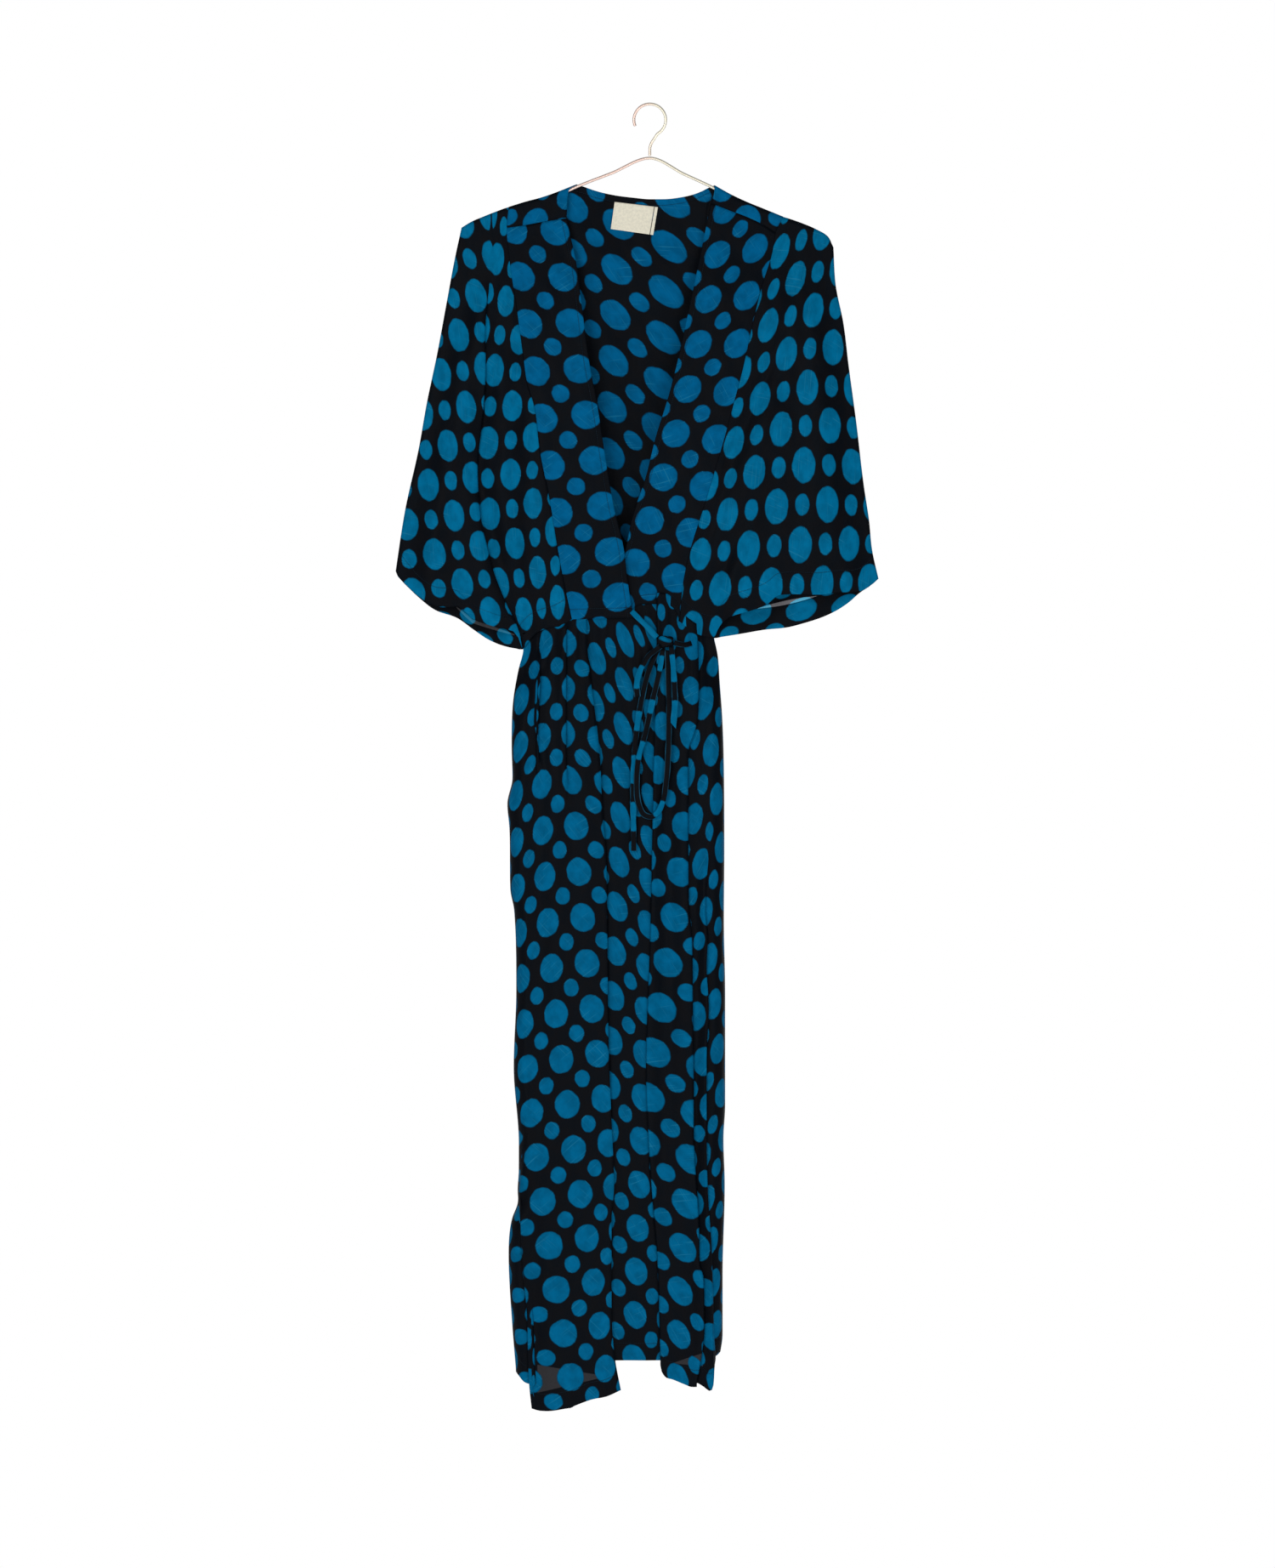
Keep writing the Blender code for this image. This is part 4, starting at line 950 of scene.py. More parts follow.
def sheer_share(m, spots):
    """The largest share of light of any spot: a band round a sloping line, tapered at its ends."""
    x, depth, height = m.parts(m.object_place())
    total = 0.0
    for side, x0, d0, x1, d1, half0, half1, more, share in spots:
        x0, x1, half0, half1, more = (v * MM for v in (x0, x1, half0, half1, more))
        z0, z1 = -(HOOK_RISE + d0) * MM, -(HOOK_RISE + d1) * MM
        along_it = m.math("DIVIDE", m.math("SUBTRACT", x, x0), x1 - x0)
        middle = m.math("MULTIPLY_ADD", along_it, z1 - z0, z0)
        bow = m.math("MULTIPLY", along_it, m.math("SUBTRACT", 1.0, along_it))
        half = m.math("MULTIPLY_ADD", along_it, half1 - half0, half0)
        half = m.math("ADD", half, m.math("MULTIPLY", bow, 4 * more))
        past = m.math("SUBTRACT", m.math("ABSOLUTE", m.math("SUBTRACT", height, middle)), half)
        ends = m.math("ABSOLUTE", m.math("SUBTRACT", along_it, 0.5))
        spot = m.math("MULTIPLY", m.ramp(past, 0.0004, -0.0004), m.ramp(ends, 0.5, 0.49))
        spot = m.math("MULTIPLY", spot, m.ramp(depth, 0.0, side * 0.001))
        total = m.math("MAXIMUM", total, m.math("MULTIPLY", spot, share))
    return total


def dot_distance(m, place, shift):
    """mm of cloth from the nearest dot's centre: the place within its repeat, less its middle."""
    shifted = m.vector("ADD", place, (shift, shift, 0))
    cell = m.vector("SUBTRACT", m.vector("FRACTION", shifted), (0.5, 0.5, 0))
    cell = m.vector("MULTIPLY", cell, (REPEAT[0], REPEAT[1], 0))
    return m.vector("LENGTH", cell, result="Value")


def dot_blue(m, flat, cloudy, threads_and_sheen, core, blue):
    """A dot's blue: cloudy, with painted sheen on threads, a dark rim and fine painted highlight
    streaks.
    """
    inner = m.mix(m.ramp(cloudy, 0.3, 0.7), shade(blue, 0.86), shade(blue, 1.2))
    # Painted sheen: the dot's blue lightens where the thread noise is high
    share = m.math("MULTIPLY", m.ramp(threads_and_sheen, 0.45, 0.75), 0.35)
    inner = m.mix(share, inner, shade(blue, 1.2))
    spot = m.mix(core, shade(blue, 0.45), inner)
    # Painted highlight streaks across the dot, one set for each angle
    for angle, slant in SHEEN_STREAKS:
        turned = m.tree.nodes.new("ShaderNodeVectorRotate")
        m.put(flat, turned.inputs["Vector"])
        turned.inputs["Angle"].default_value = angle
        fine = m.noise(m.vector("MULTIPLY", turned.outputs[0], (0.02, slant, 1.0)), 1.0, 1.0)
        spot = m.mix(m.ramp(fine, 0.64, 0.72, 0.0, 0.5), spot, HIGHLIGHT_STREAK_BLUE)
    return spot


def sewn_line(m, color, normal):
    """Stitches along the Seam map: a dashed thread on its line, sunk in a shallow groove."""
    run, off, _ = m.parts(m.uv("Seam"))
    off = m.math("ABSOLUTE", off)
    dash = m.ramp(m.math("PINGPONG", run, STITCH), 0.0002, 0.0004)
    thread = m.math("MULTIPLY", m.ramp(off, 0.00034, 0.00022), dash)
    sewn = m.math("SUBTRACT", m.math("MULTIPLY", thread, 0.8), m.ramp(off, GROOVE, 0.0))
    return m.mix(m.math("MULTIPLY", thread, 0.75), color, THREAD), m.bump(sewn, 0.8, 0.0005, normal)


def tie_rim(m, flat, cloudy, color):
    """A paler line along both edges of a tie, where its pressed fold catches the light."""
    out = m.math("ABSOLUTE", m.parts(flat)[0])
    rim = m.math("MULTIPLY", m.ramp(out, 2.5, 3.0), m.ramp(out, 5.0, 4.5))
    return m.mix(m.math("MULTIPLY", rim, m.ramp(cloudy, 0.4, 0.6, 0.1, 0.5)), color, TIE_EDGE)


def silk(name, blue, stitches=True):
    """Dot: 1 where the distance from the nearest centre, with a little noise, is under the radius."""
    m = Maker(name)
    place = m.uv("Print")
    flat = m.vector("MULTIPLY", place, (REPEAT[0], REPEAT[1], 1))
    stray = m.vector("SUBTRACT", m.noise(flat, 0.11, 1.0, result="Color"), (0.5, 0.5, 0.5))
    place = m.vector("ADD", place, m.vector("MULTIPLY", stray, (WOBBLE, WOBBLE, 0)))
    dot, core = 0.0, 0.0
    for radius, shift, rim in DOTS:
        away = dot_distance(m, place, shift)
        dot = m.math("MAXIMUM", dot, m.ramp(away, radius + DOT_EDGE, radius - DOT_EDGE))
        core = m.math("MAXIMUM", core, m.ramp(away, radius - 0.1, radius - rim))
    cloudy = m.noise(flat, 0.06, 3.0, 0.55)
    # Thread noise: a bump for the crepe, and painted sheen on the dots
    threads_and_sheen = m.noise(m.vector("MULTIPLY", flat, (0.5, 9.0, 1.0)), 0.6, 2.0)
    grain = m.noise(m.vector("MULTIPLY", flat, (1.0, 1.6, 1.0)), 2.6, 3.0, 0.6)
    crumple = m.noise(m.vector("MULTIPLY", flat, (1.0, 0.45, 1.0)), 0.09, 3.0, 0.5)
    spot = dot_blue(m, flat, cloudy, threads_and_sheen, core, blue)
    dark = m.mix(m.ramp(cloudy, 0.35, 0.65), GROUND, shade(GROUND, 1.5, 1.05, 0.9))
    color = m.mix(dot, dark, spot)
    height = m.math("ADD", m.math("MULTIPLY", grain, 0.7), m.math("MULTIPLY", threads_and_sheen, 0.3))
    normal = m.bump(crumple, 0.5, 0.0012, m.bump(height, 0.35, 0.00012))
    if stitches:
        color, normal = sewn_line(m, color, normal)
    else:
        color = tie_rim(m, flat, cloudy, color)
    if name in SHEER:
        lit = m.mix(dot, LIT_GROUND, LIT_SLEEVE_DOT if "inside" in name else spot)
        color = m.mix(sheer_share(m, SHEER[name]), color, lit)
    return m.finish(
        Base_Color=color, Roughness=m.ramp(grain, 0.2, 0.8, 0.42, 0.6), Normal=normal,
        Specular_IOR_Level=m.ramp(dot, 0.0, 1.0, 0.036, 0.01),
        Sheen_Weight=0.006, Sheen_Roughness=0.4, Sheen_Tint=(0.5, 0.75, 1.0, 1),
    )


silk_bodice = silk("silk_bodice", BLUE_BODICE)
silk_sleeve = silk("silk_sleeve", BLUE_SLEEVE)
silk_sleeve_inside = silk("silk_sleeve_inside", BLUE_SLEEVE)
silk_skirt = silk("silk_skirt", BLUE_SKIRT)
silk_tie = silk("silk_tie", BLUE_SLEEVE, stitches=False)
print("silk made in", len(silk_skirt.node_tree.nodes), "nodes")

# %% [markdown]
# ## Pressed folds
# Where the cloth was pressed it lies in a knife fold: the upper layer turns at the fold's edge,
# runs back beneath itself and turns again. Six columns of points describe it, and the smooth
# lines between them make its round turns.

# %% Six columns of a fold
FOLD_STEP, FOLD_TURN = 2.5, 1.3  # mm: half the rise over a fold, and the reach of a turn
FLAT = -8.0  # an overlap at which no fold is left


def fold_columns(overlap):
    """How far each column lies past the fold's edge, and how high above the cloth beneath it."""
    closed = np.clip(overlap / (2 * FOLD_TURN), -1, 1)
    step = FOLD_STEP * smooth((overlap - FLAT) / 6)
    past = [
        -FOLD_TURN + 0 * overlap, 0 * overlap, -FOLD_TURN * closed,
        -overlap + FOLD_TURN * closed, -overlap, -overlap + FOLD_TURN,
    ]
    deep = [share * step for share in (2, 1.5, 1.15, 0.85, 0.5, 0)]
    return past, deep


print("rise over an open fold, mm:", float(fold_columns(np.array(10.0))[1][0]))


# %% [markdown]
# ## Sleeves
# Each sleeve is a wide piece folded along its outer edge. Front and back are stretched between the
# armhole, the shoulder, the outer fold and the cuff, and welded at the fold and the shoulder. The
# left one has a pressed fold that runs down into the underarm.

# %% Sleeve grids
FLAP = 0.05  # share of the bodice's length that the shoulder carries over to the front
SHOULDER_ROWS = np.array([0, 0.0008, 0.002, 0.004, 0.007, 0.011, 0.017, 0.025, 0.033, 0.041, FLAP])
BODICE_ROWS = np.concatenate([SHOULDER_ROWS, np.linspace(FLAP, 1, 160)[1:]])
OUTER_TURN = (6.0, 4.2, 2.8, 1.7, 0.8, 0.25, 0.0)  # mm in from the outer fold, where it turns
SPACING = 3.0  # mm between columns of points
CORNER = 0.29  # where the underarm seam ends and the cuff begins
SLEEVE_HEM, WAIST_HEM, SKIRT_HEM = 26.0, 12.0, 20.0  # mm from an edge to its stitches
FRONT_HEM, SHOULDER_SEAM = 6.0, 8.0
BODICE_SEED = {-1: 5, 1: 12}  # of the crumples, front and back
SLEEVE_FOLD = {
    "edge": [
        (-190.5, 160), (-193.5, 205), (-193, 248), (-195.5, 295), (-202.5, 366), (-200.8, 400.5),
        (-196.7, 435.5), (-189.5, 463.5), (-185.2, 482), (-171.7, 517.9), (-154, 557), (-150, 578),
    ],
    "overlap": [
        (FLAT, 30), (FLAT, 120), (0, 165), (2, 250), (4, 340), (5, 410), (7, 480), (5, 540), (3, 580),
    ],
}


def folded_columns(fold, place, rows, width, last):
    """Columns of shares across the sleeve with a pressed fold among them, and each one's lift: plain
    cloth from the armhole, the fold's six columns, plain cloth, then the turn at the outer fold."""
    fine = 161
    x, drop = place(*np.meshgrid(np.linspace(0, 1, fine), rows))
    gap = x - x_at(fold["edge"], drop)
    each, beyond = np.arange(len(rows)), np.clip((gap < 0).argmax(axis=1), 1, fine - 1)
    before, after = gap[each, beyond - 1], gap[each, beyond]
    at = (beyond - 1 + np.clip(before / (before - after + 1e-9), 0, 1)) / (fine - 1)
    overlap, drops = np.array(fold["overlap"], float).T
    past, deep = fold_columns(np.interp(drop[each, beyond], drops, overlap))
    columns = [(at - past[5] / width) * share for share in np.linspace(0, 1, 14)[:-1]]
    lifts = [deep[5]] * len(columns)
    for order in (5, 4, 3, 2, 1, 0):
        columns.append(at - past[order] / width)
        lifts.append(deep[order])
    first = columns[-1]
    for share in np.linspace(0, 1, 18)[1:-1]:
        columns.append(first + (last[0] - first) * share)
        lifts.append(deep[0] * smooth(1 - 2 * share))
    lifts += [0 * deep[0]] * len(last)
    return np.stack(columns + last, axis=1), np.stack(lifts, axis=1)


def sleeve(name, armhole, outer, top, underarm, cuffs, into, areas, fold, seed):
    """Front and back as grids between four lines. into is how far x is moved where the sleeve slips
    under the bodice at the armhole; areas name the print of the front, inside its fold, and back."""
    rows = BODICE_ROWS
    width = np.linalg.norm(along(outer, rows) - along(armhole, rows), axis=-1)
    last = [1 - np.minimum(reach / width, 0.06) for reach in OUTER_TURN]
    grids = []
    for cuff, sign, folds in ((cuffs[0], -1, FRONT_FOLDS), (cuffs[1], 1, BACK_FOLDS)):
        def place(across, down):
            return patch(
                lambda t: along(armhole, t), lambda t: along(outer, t), lambda t: along(top, t),
                joined([underarm, cuff], [0, CORNER, 1]), across, down,
            )

        if fold and sign < 0:
            across, lift = folded_columns(fold, place, rows, width, last)
            own = [areas[1]] * 16 + [areas[0]] * (across.shape[1] - 16)
        else:
            plain = np.concatenate([np.linspace(0, CORNER, 10), np.linspace(CORNER, 0.93, 20)[1:]])
            across = np.stack([np.full(len(rows), share) for share in plain] + last, axis=1)
            own, lift = [areas[0]] * across.shape[1], 0.0
        down = np.repeat(rows[:, None], across.shape[1], axis=1)
        x, drop = place(across, down)
        tucked = np.clip(1 - across * width[:, None] / 6, 0, 1)
        x = x + into * tucked
        depth = upper_depth(x, drop, folds) + lift * smooth((drop - 130) / 60)
        depth = depth - tucked * np.minimum(0.7, 0.5 * depth)
        points, stretch, share = refine(np.stack([x, sign * depth, drop], -1), SPACING)
        x, drop = points[..., 0], points[..., 2]
        beside = smooth(np.abs(x - x[:, :1]) / 25)
        shared_life = upper_life(x, drop, BODICE_SEED[sign])
        own_life = upper_life(x, drop, seed + sign)
        points[..., 1] += sign * (shared_life + beside * (own_life - shared_life))
        if sign < 0:
            print_map = blended_print(own, stretch, share, x, drop)
        else:
            print_map = lattice(areas[-1], x, drop)
        grids.append((points, print_map, seam_map(points, bottom=SLEEVE_HEM), sign))
    return cloth(name, grids, silk_sleeve, inside=silk_sleeve_inside)


top_left = [row for row in RIDGE_LEFT if row[0] <= ARMHOLE_LEFT[0][0]][::-1]
top_right = [row for row in RIDGE_RIGHT if row[0] >= ARMHOLE_RIGHT[0][0]]
sleeve_left = sleeve(
    "silk_sleeve_left", ARMHOLE_LEFT, OUTER_LEFT, top_left, UNDERARM_LEFT,
    (CUFF_FRONT_LEFT, CUFF_BACK_LEFT), 1.2, ("sleeve_left", "sleeve_left_inner", "cuff_left"),
    SLEEVE_FOLD, 3,
)
sleeve_right = sleeve(
    "silk_sleeve_right", ARMHOLE_RIGHT, OUTER_RIGHT, top_right, UNDERARM_RIGHT,
    (CUFF_FRONT_RIGHT, CUFF_BACK_RIGHT), -1.2, ("sleeve_right", "cuff_right"), None, 7,
)

# %% [markdown]
# ## Bodice
# The back is one panel from armhole to armhole, carried over both shoulders to seams on the
# front. The two fronts hang from those seams, and the left one laps over the right.


# %% Back bodice
SEAM_GAP = 0.35  # mm between two panels that a seam joins


def back_bodice(material):
    """One panel, with a flap over each shoulder. Its top line takes a quarter of its shares for a
    shoulder, a half for the neck and a quarter for the other shoulder."""
    neck_start, neck_end = 0.25, 0.75
    shoulder_left = [row for row in RIDGE_LEFT if row[0] >= ARMHOLE_LEFT[0][0]]
    shoulder_right = [row for row in RIDGE_RIGHT if row[0] <= ARMHOLE_RIGHT[0][0]]
    top = joined([shoulder_left, NECKLINE, shoulder_right], [0, neck_start, neck_end, 1])
    waist = [ARMHOLE_LEFT[-1], ARMHOLE_RIGHT[-1]]
    first, last = np.linspace(0, neck_start, 26), np.linspace(neck_end, 1, 26)
    neck = np.linspace(neck_start, neck_end, 62)[1:-1]
    close = np.array([0.003, 0.006])
    across = np.concatenate([first, neck_start + close, neck, neck_end - close[::-1], last])
    a, b = np.meshgrid(across, BODICE_ROWS)
    x, drop = patch(
        lambda t: along(ARMHOLE_LEFT, t), lambda t: along(ARMHOLE_RIGHT, t), top,
        lambda t: along(waist, t), a, b,
    )
    on_shoulder = (a <= neck_start) | (a >= neck_end)
    depth = np.where(on_shoulder, upper_depth(x, drop, BACK_FOLDS), back_depth(x, drop))
    points = np.stack([x, depth + upper_life(x, drop, BODICE_SEED[1]), drop], -1)
    seams = seam_map(points, bottom=WAIST_HEM, top=SHOULDER_SEAM)
    grids = [(points, lattice("back", x, drop), seams, 1)]
    flaps = (
        (first / neck_start, shoulder_left, YOKE_LEFT, ARMHOLE_LEFT, NECK_SIDE_LEFT, "yoke_left"),
        (
            1 - (last - neck_end) / (1 - neck_end), shoulder_right[::-1], YOKE_RIGHT,
            ARMHOLE_RIGHT, NECK_SIDE_RIGHT, "yoke_right",
        ),
    )
    for shares, ridge, yoke, armhole, neck_side, area in flaps:
        a, r = np.meshgrid(shares, SHOULDER_ROWS / FLAP)
        x, drop = patch(
            lambda t: along(armhole, t * FLAP), lambda t: along(neck_side, t),
            lambda t: along(ridge, t), lambda t: along(yoke, t), a, r,
        )
        depth = upper_depth(x, drop, FRONT_FOLDS) + upper_life(x, drop, BODICE_SEED[-1])
        points = np.stack([x, -depth, drop], -1)
        grids.append((points, lattice(area, x, drop), seam_map(points), -1))
    return cloth("silk_back_bodice", grids, material)


bodice_back = back_bodice(silk_bodice)


# %% Front bodices
def front_bodice(name, armhole, edge, yoke, hem, lift, area, material):
    """Stretched from the armhole to the wrap's edge, between the shoulder seam and the waist."""
    shares = (BODICE_ROWS[len(SHOULDER_ROWS) - 1:] - FLAP) / (1 - FLAP)
    a, r = np.meshgrid(np.linspace(0, 1, 54), shares)
    x, drop = patch(
        lambda t: along(armhole, FLAP + t * (1 - FLAP)), lambda t: along(edge, t),
        lambda t: along(yoke, t), lambda t: along(hem, t), a, r,
    )
    depth = upper_depth(x, drop, FRONT_FOLDS) + lift * smooth(a) * smooth(1.3 * r)
    depth = depth + upper_life(x, drop, BODICE_SEED[-1])
    drop = drop + SEAM_GAP * (1 - r)
    points = np.stack([x, -depth, drop], -1)
    seams = seam_map(points, bottom=WAIST_HEM, side=FRONT_HEM)
    return cloth(name, [(points, lattice(area, x, drop), seams, -1)], material)


bodice_left = front_bodice(
    "silk_front_left", ARMHOLE_LEFT, FRONT_EDGE_LEFT, YOKE_LEFT,
    [ARMHOLE_LEFT[-1], FRONT_EDGE_LEFT[-1]], OVER_LIFT, "bodice_left", silk_bodice,
)
bodice_right = front_bodice(
    "silk_front_right", ARMHOLE_RIGHT, FRONT_EDGE_RIGHT, YOKE_RIGHT,
    WAIST_RIGHT, -UNDER_DROP, "bodice_right", silk_bodice,
)

# %% [markdown]
# ## Skirt
# Each skirt panel runs from side to side as stretches of plain cloth between pressed folds. Every
# column of points starts behind the bodice, falls along its fold and ends at its own hem. At the
# sides the cloth turns through a quarter circle to meet the other panel.

# %% The skirt's folds: edge as x, drop; overlap as mm, drop; over is the side of the upper layer
FOLD_SIDE = {
    "over": -1,
    "edge": [
        (-134, 545), (-137, 640), (-136, 900), (-139, 1100), (-144, 1150), (-150.5, 1195),
        (-153.5, 1220), (-151.5, 1262), (-148.5, 1315), (-144.5, 1354), (-142.8, 1414), (-141.6, 1442),
        (-138.5, 1471),
    ],
    "overlap": [(FLAT, 545), (FLAT, 1130), (0, 1225), (6, 1300), (8, 1450)],
}
FOLD_TUCK = {
    "over": 1,
    "edge": [(-131, 545), (-129, 615), (-131, 665), (-128, 1450)],
    "overlap": [
        (FLAT, 545), (FLAT, 575), (1, 600), (5, 620), (5, 665), (0, 690), (FLAT, 740), (FLAT, 1450),
    ],
}
FOLD_GATHER = {
    "over": 1,
    "edge": [(-98, 545), (-98, 690), (-97, 800), (-95, 1450)],
    "overlap": [
        (FLAT, 545), (0, 556), (4, 575), (5.5, 640), (5, 690), (0, 715), (FLAT, 770), (FLAT, 1450),
    ],
}
FOLD_MIDDLE = {
    "over": -1,
    "edge": [
        (8, 545), (8, 580), (5, 690), (3, 800), (0.5, 915), (-4.5, 1075), (-2, 1144), (2, 1208),
        (8.5, 1288), (12.5, 1412),
    ],
    "overlap": [(3, 545), (3, 780), (10, 950), (12, 1450)],
}
FOLD_RIGHT = {
    "over": 1,
    "edge": [
        (55, 545), (57, 580), (57.5, 620), (56.5, 658), (51, 680), (45.5, 697), (45, 750), (46, 880),
        (49.5, 915), (50.5, 1000), (51.5, 1045), (51.5, 1145), (53, 1180), (57.5, 1250),
        (58.5, 1300), (63, 1316), (64, 1378), (61, 1405), (55, 1441),
    ],
    "overlap": [(3, 545), (4, 720), (10, 900), (12, 1450)],
}
FOLD_EDGE = {
    "over": 1,
    "edge": [
        (62, 545), (64, 590), (66, 620), (66, 840), (65, 885), (67.5, 920), (66.5, 950), (69, 1000),
        (66.5, 1060), (66.5, 1120), (68, 1215), (72.5, 1283), (74, 1333), (75.5, 1385), (77.5, 1410),
    ],
    "overlap": [(FLAT, 545), (FLAT, 800), (0, 860), (5, 905), (7, 950), (7, 1450)],
}
FOLD_BACK_LEFT = {
    "over": 1,
    "edge": [(-96, 545), (-102, 800), (-98, 1100), (-104, 1450)],
    "overlap": [(FLAT, 545), (3, 640), (11, 900), (10, 1450)],
}
FOLD_BACK_MIDDLE = {
    "over": -1,
    "edge": [(-26, 545), (-30, 800), (-24, 1100), (-28, 1450)],
    "overlap": [(FLAT, 545), (FLAT, 700), (6, 900), (14, 1450)],
}
FOLD_BACK_RIGHT = {
    "over": 1,
    "edge": [(40, 545), (37, 800), (42, 1100), (36, 1450)],
    "overlap": [(FLAT, 545), (4, 700), (9, 1000), (11, 1450)],
}
SIDE_TURN = np.radians([0, 9, 20, 34, 50, 68, 90])
SKIRT_ROWS = np.concatenate([np.linspace(0, 0.1, 38), np.linspace(0.1, 1, 205)[1:]])
BODICE_HEM = 543.0
WAIST_THICKNESS = 0.7  # mm that the cloth keeps in front of the hanger's plane at the waist


# %% Skirt panels
def round_the_sides(points, stretch, ends, last):
    """Repeats across that the cloth runs on where it turns at a side: the length of the steps in x
    and depth less their x alone, summed from the turn's inner end outwards."""
    steps = np.diff(points, axis=1)
    more = (np.hypot(steps[..., 0], steps[..., 1]) - np.abs(steps[..., 0])) / REPEAT[0]
    nothing = np.zeros((len(points), 1))
    turn = len(SIDE_TURN) - 1
    low = more * (stretch[:-1] < turn) * (ends[0] is SKIRT_LEFT)
    high = more * (stretch[:-1] >= last - turn) * (ends[1] is SKIRT_RIGHT)
    low = np.cumsum(low[:, ::-1], axis=1)[:, ::-1]
    return np.hstack([nothing, np.cumsum(high, axis=1)]) - np.hstack([low, nothing])


def skirt_panel(name, ends, folds, counts, hems, areas, depth_of, sign, material, seed):
    """Stretches of plain cloth, each with a count of columns, and six columns for each fold. On a
    stretch a place is a share of the way between the folds or ends beside it at the same drop."""
    last = len(counts) - 1

    def on_fold(number, order, drop):
        """x and lift of one of a fold's six columns: its edge plus the column's reach past it."""
        fold = folds[number]
        overlap = np.array(fold["overlap"], float)
        past, deep = fold_columns(np.interp(drop, overlap[:, 1], overlap[:, 0]))
        return x_at(fold["edge"], drop) + fold["over"] * past[order], deep[order]

    def orders(number):
        """A fold's columns from left to right."""
        return range(6) if folds[number]["over"] > 0 else range(5, -1, -1)

    def on_stretch(number, share, drop):
        """x and lift on plain cloth; the lift fades to 0 halfway from a fold."""
        low, high = x_at(ends[0], drop), x_at(ends[1], drop)
        lift = np.zeros(np.shape(drop))
        if number > 0:
            low, deep = on_fold(number - 1, orders(number - 1)[-1], drop)
            lift = lift + deep * smooth(1 - 2 * share)
        if number < last:
            high, deep = on_fold(number, orders(number)[0], drop)
            lift = lift + deep * smooth(2 * share - 1)
        return low + (high - low) * share, lift

    columns, own = [], []

    def column(place, hem_table, area):
        """Rows from the waist to the hem at the x that place gives for each drop."""
        hem = drop_at(hem_table, place(np.array(float(hem_table[0][1])))[0])
        start = drop_at(SKIRT_TOP, place(np.array(BODICE_HEM))[0])
        drop = start + (hem - start) * SKIRT_ROWS
        x, lift = place(drop)
        depth = depth_of(x, drop) + lift * side_share(x, drop)
        near_waist = 1 - smooth(below_waist(x, drop) / 40)
        depth = np.maximum(depth, WAIST_THICKNESS * near_waist)
        columns.append(np.stack([x, sign * depth, drop], -1))
        own.append(area)

    def turning(number, share, part):
        """In from a side by a part of the turn's radius, or of the room beside the next fold."""
        def place(drop):
            x, lift = on_stretch(number, share, drop)
            order = orders(number)[0] if share == 0 else orders(number - 1)[-1]
            room = on_fold(number if share == 0 else number - 1, order, drop)[0] - x
            return x + np.sign(room) * part * np.minimum(SIDE_RADIUS, 0.95 * np.abs(room)), lift
        return place

    for number, count in enumerate(counts):
        for share in np.linspace(0, 1, count):
            locate = lambda drop: on_stretch(number, share, drop)
            outside = (number == 0 and share == 0) or (number == last and share == 1)
            if outside and ends[0 if share == 0 else 1] in (SKIRT_LEFT, SKIRT_RIGHT):
                for angle in SIDE_TURN[::1 if share == 0 else -1]:
                    column(turning(number, share, 1 - math.cos(angle)), hems[number], areas[number])
            elif outside or 0 < share < 1:
                column(locate, hems[number], areas[number])
        if number < last:
            over = folds[number]["over"] > 0
            for order in orders(number):
                first = (order < 3) == over
                area = areas[number if first else number + 1]
                upper_hem = hems[number if first else number + 1]
                column(lambda drop: on_fold(number, order, drop), upper_hem, area)
    points, stretch, share = refine(np.stack(columns, axis=1), SPACING)
    x, drop = points[..., 0], points[..., 2]
    points[..., 1] += sign * skirt_life(x, drop, seed)
    print_map = blended_print(own, stretch, share, x, drop)
    print_map[..., 0] += round_the_sides(points, stretch, ends, len(own) - 1)
    return cloth(name, [(points, print_map, seam_map(points, bottom=SKIRT_HEM), sign)], material)


skirt_left = skirt_panel(
    "silk_skirt_front_left", [SKIRT_LEFT, LAP_EDGE], [FOLD_SIDE, FOLD_TUCK, FOLD_GATHER],
    [2, 3, 4, 10], [HEM_LEFT[0], HEM_LEFT[1], HEM_LEFT[1], HEM_LEFT[2]],
    ["side_left", "waist_left", "skirt_left", "waist_right"], lapped, -1, silk_skirt, 1,
)
skirt_right = skirt_panel(
    "silk_skirt_front_right", [UNDER_EDGE, SKIRT_RIGHT], [FOLD_MIDDLE, FOLD_RIGHT, FOLD_EDGE],
    [12, 8, 6, 2], HEM_RIGHT, ["skirt_middle", "skirt_right", "skirt_edge", "skirt_side"],
    under, -1, silk_skirt, 1,
)
skirt_back = skirt_panel(
    "silk_skirt_back", [SKIRT_LEFT, SKIRT_RIGHT],
    [FOLD_BACK_LEFT, FOLD_BACK_MIDDLE, FOLD_BACK_RIGHT], [4, 9, 9, 4],
    HEM_BACK, ["skirt_back"] * 4, skirt_depth, 1, silk_skirt, 4,
)

# %% [markdown]
# ## Ties and bow
# The ties are narrow straps, sewn as flattened tubes of the same silk. They are tied in a small
# bow at the right of the waist, and its loops and ends hang down. Cut so narrow, the cloth shows
# blue and black in turn.

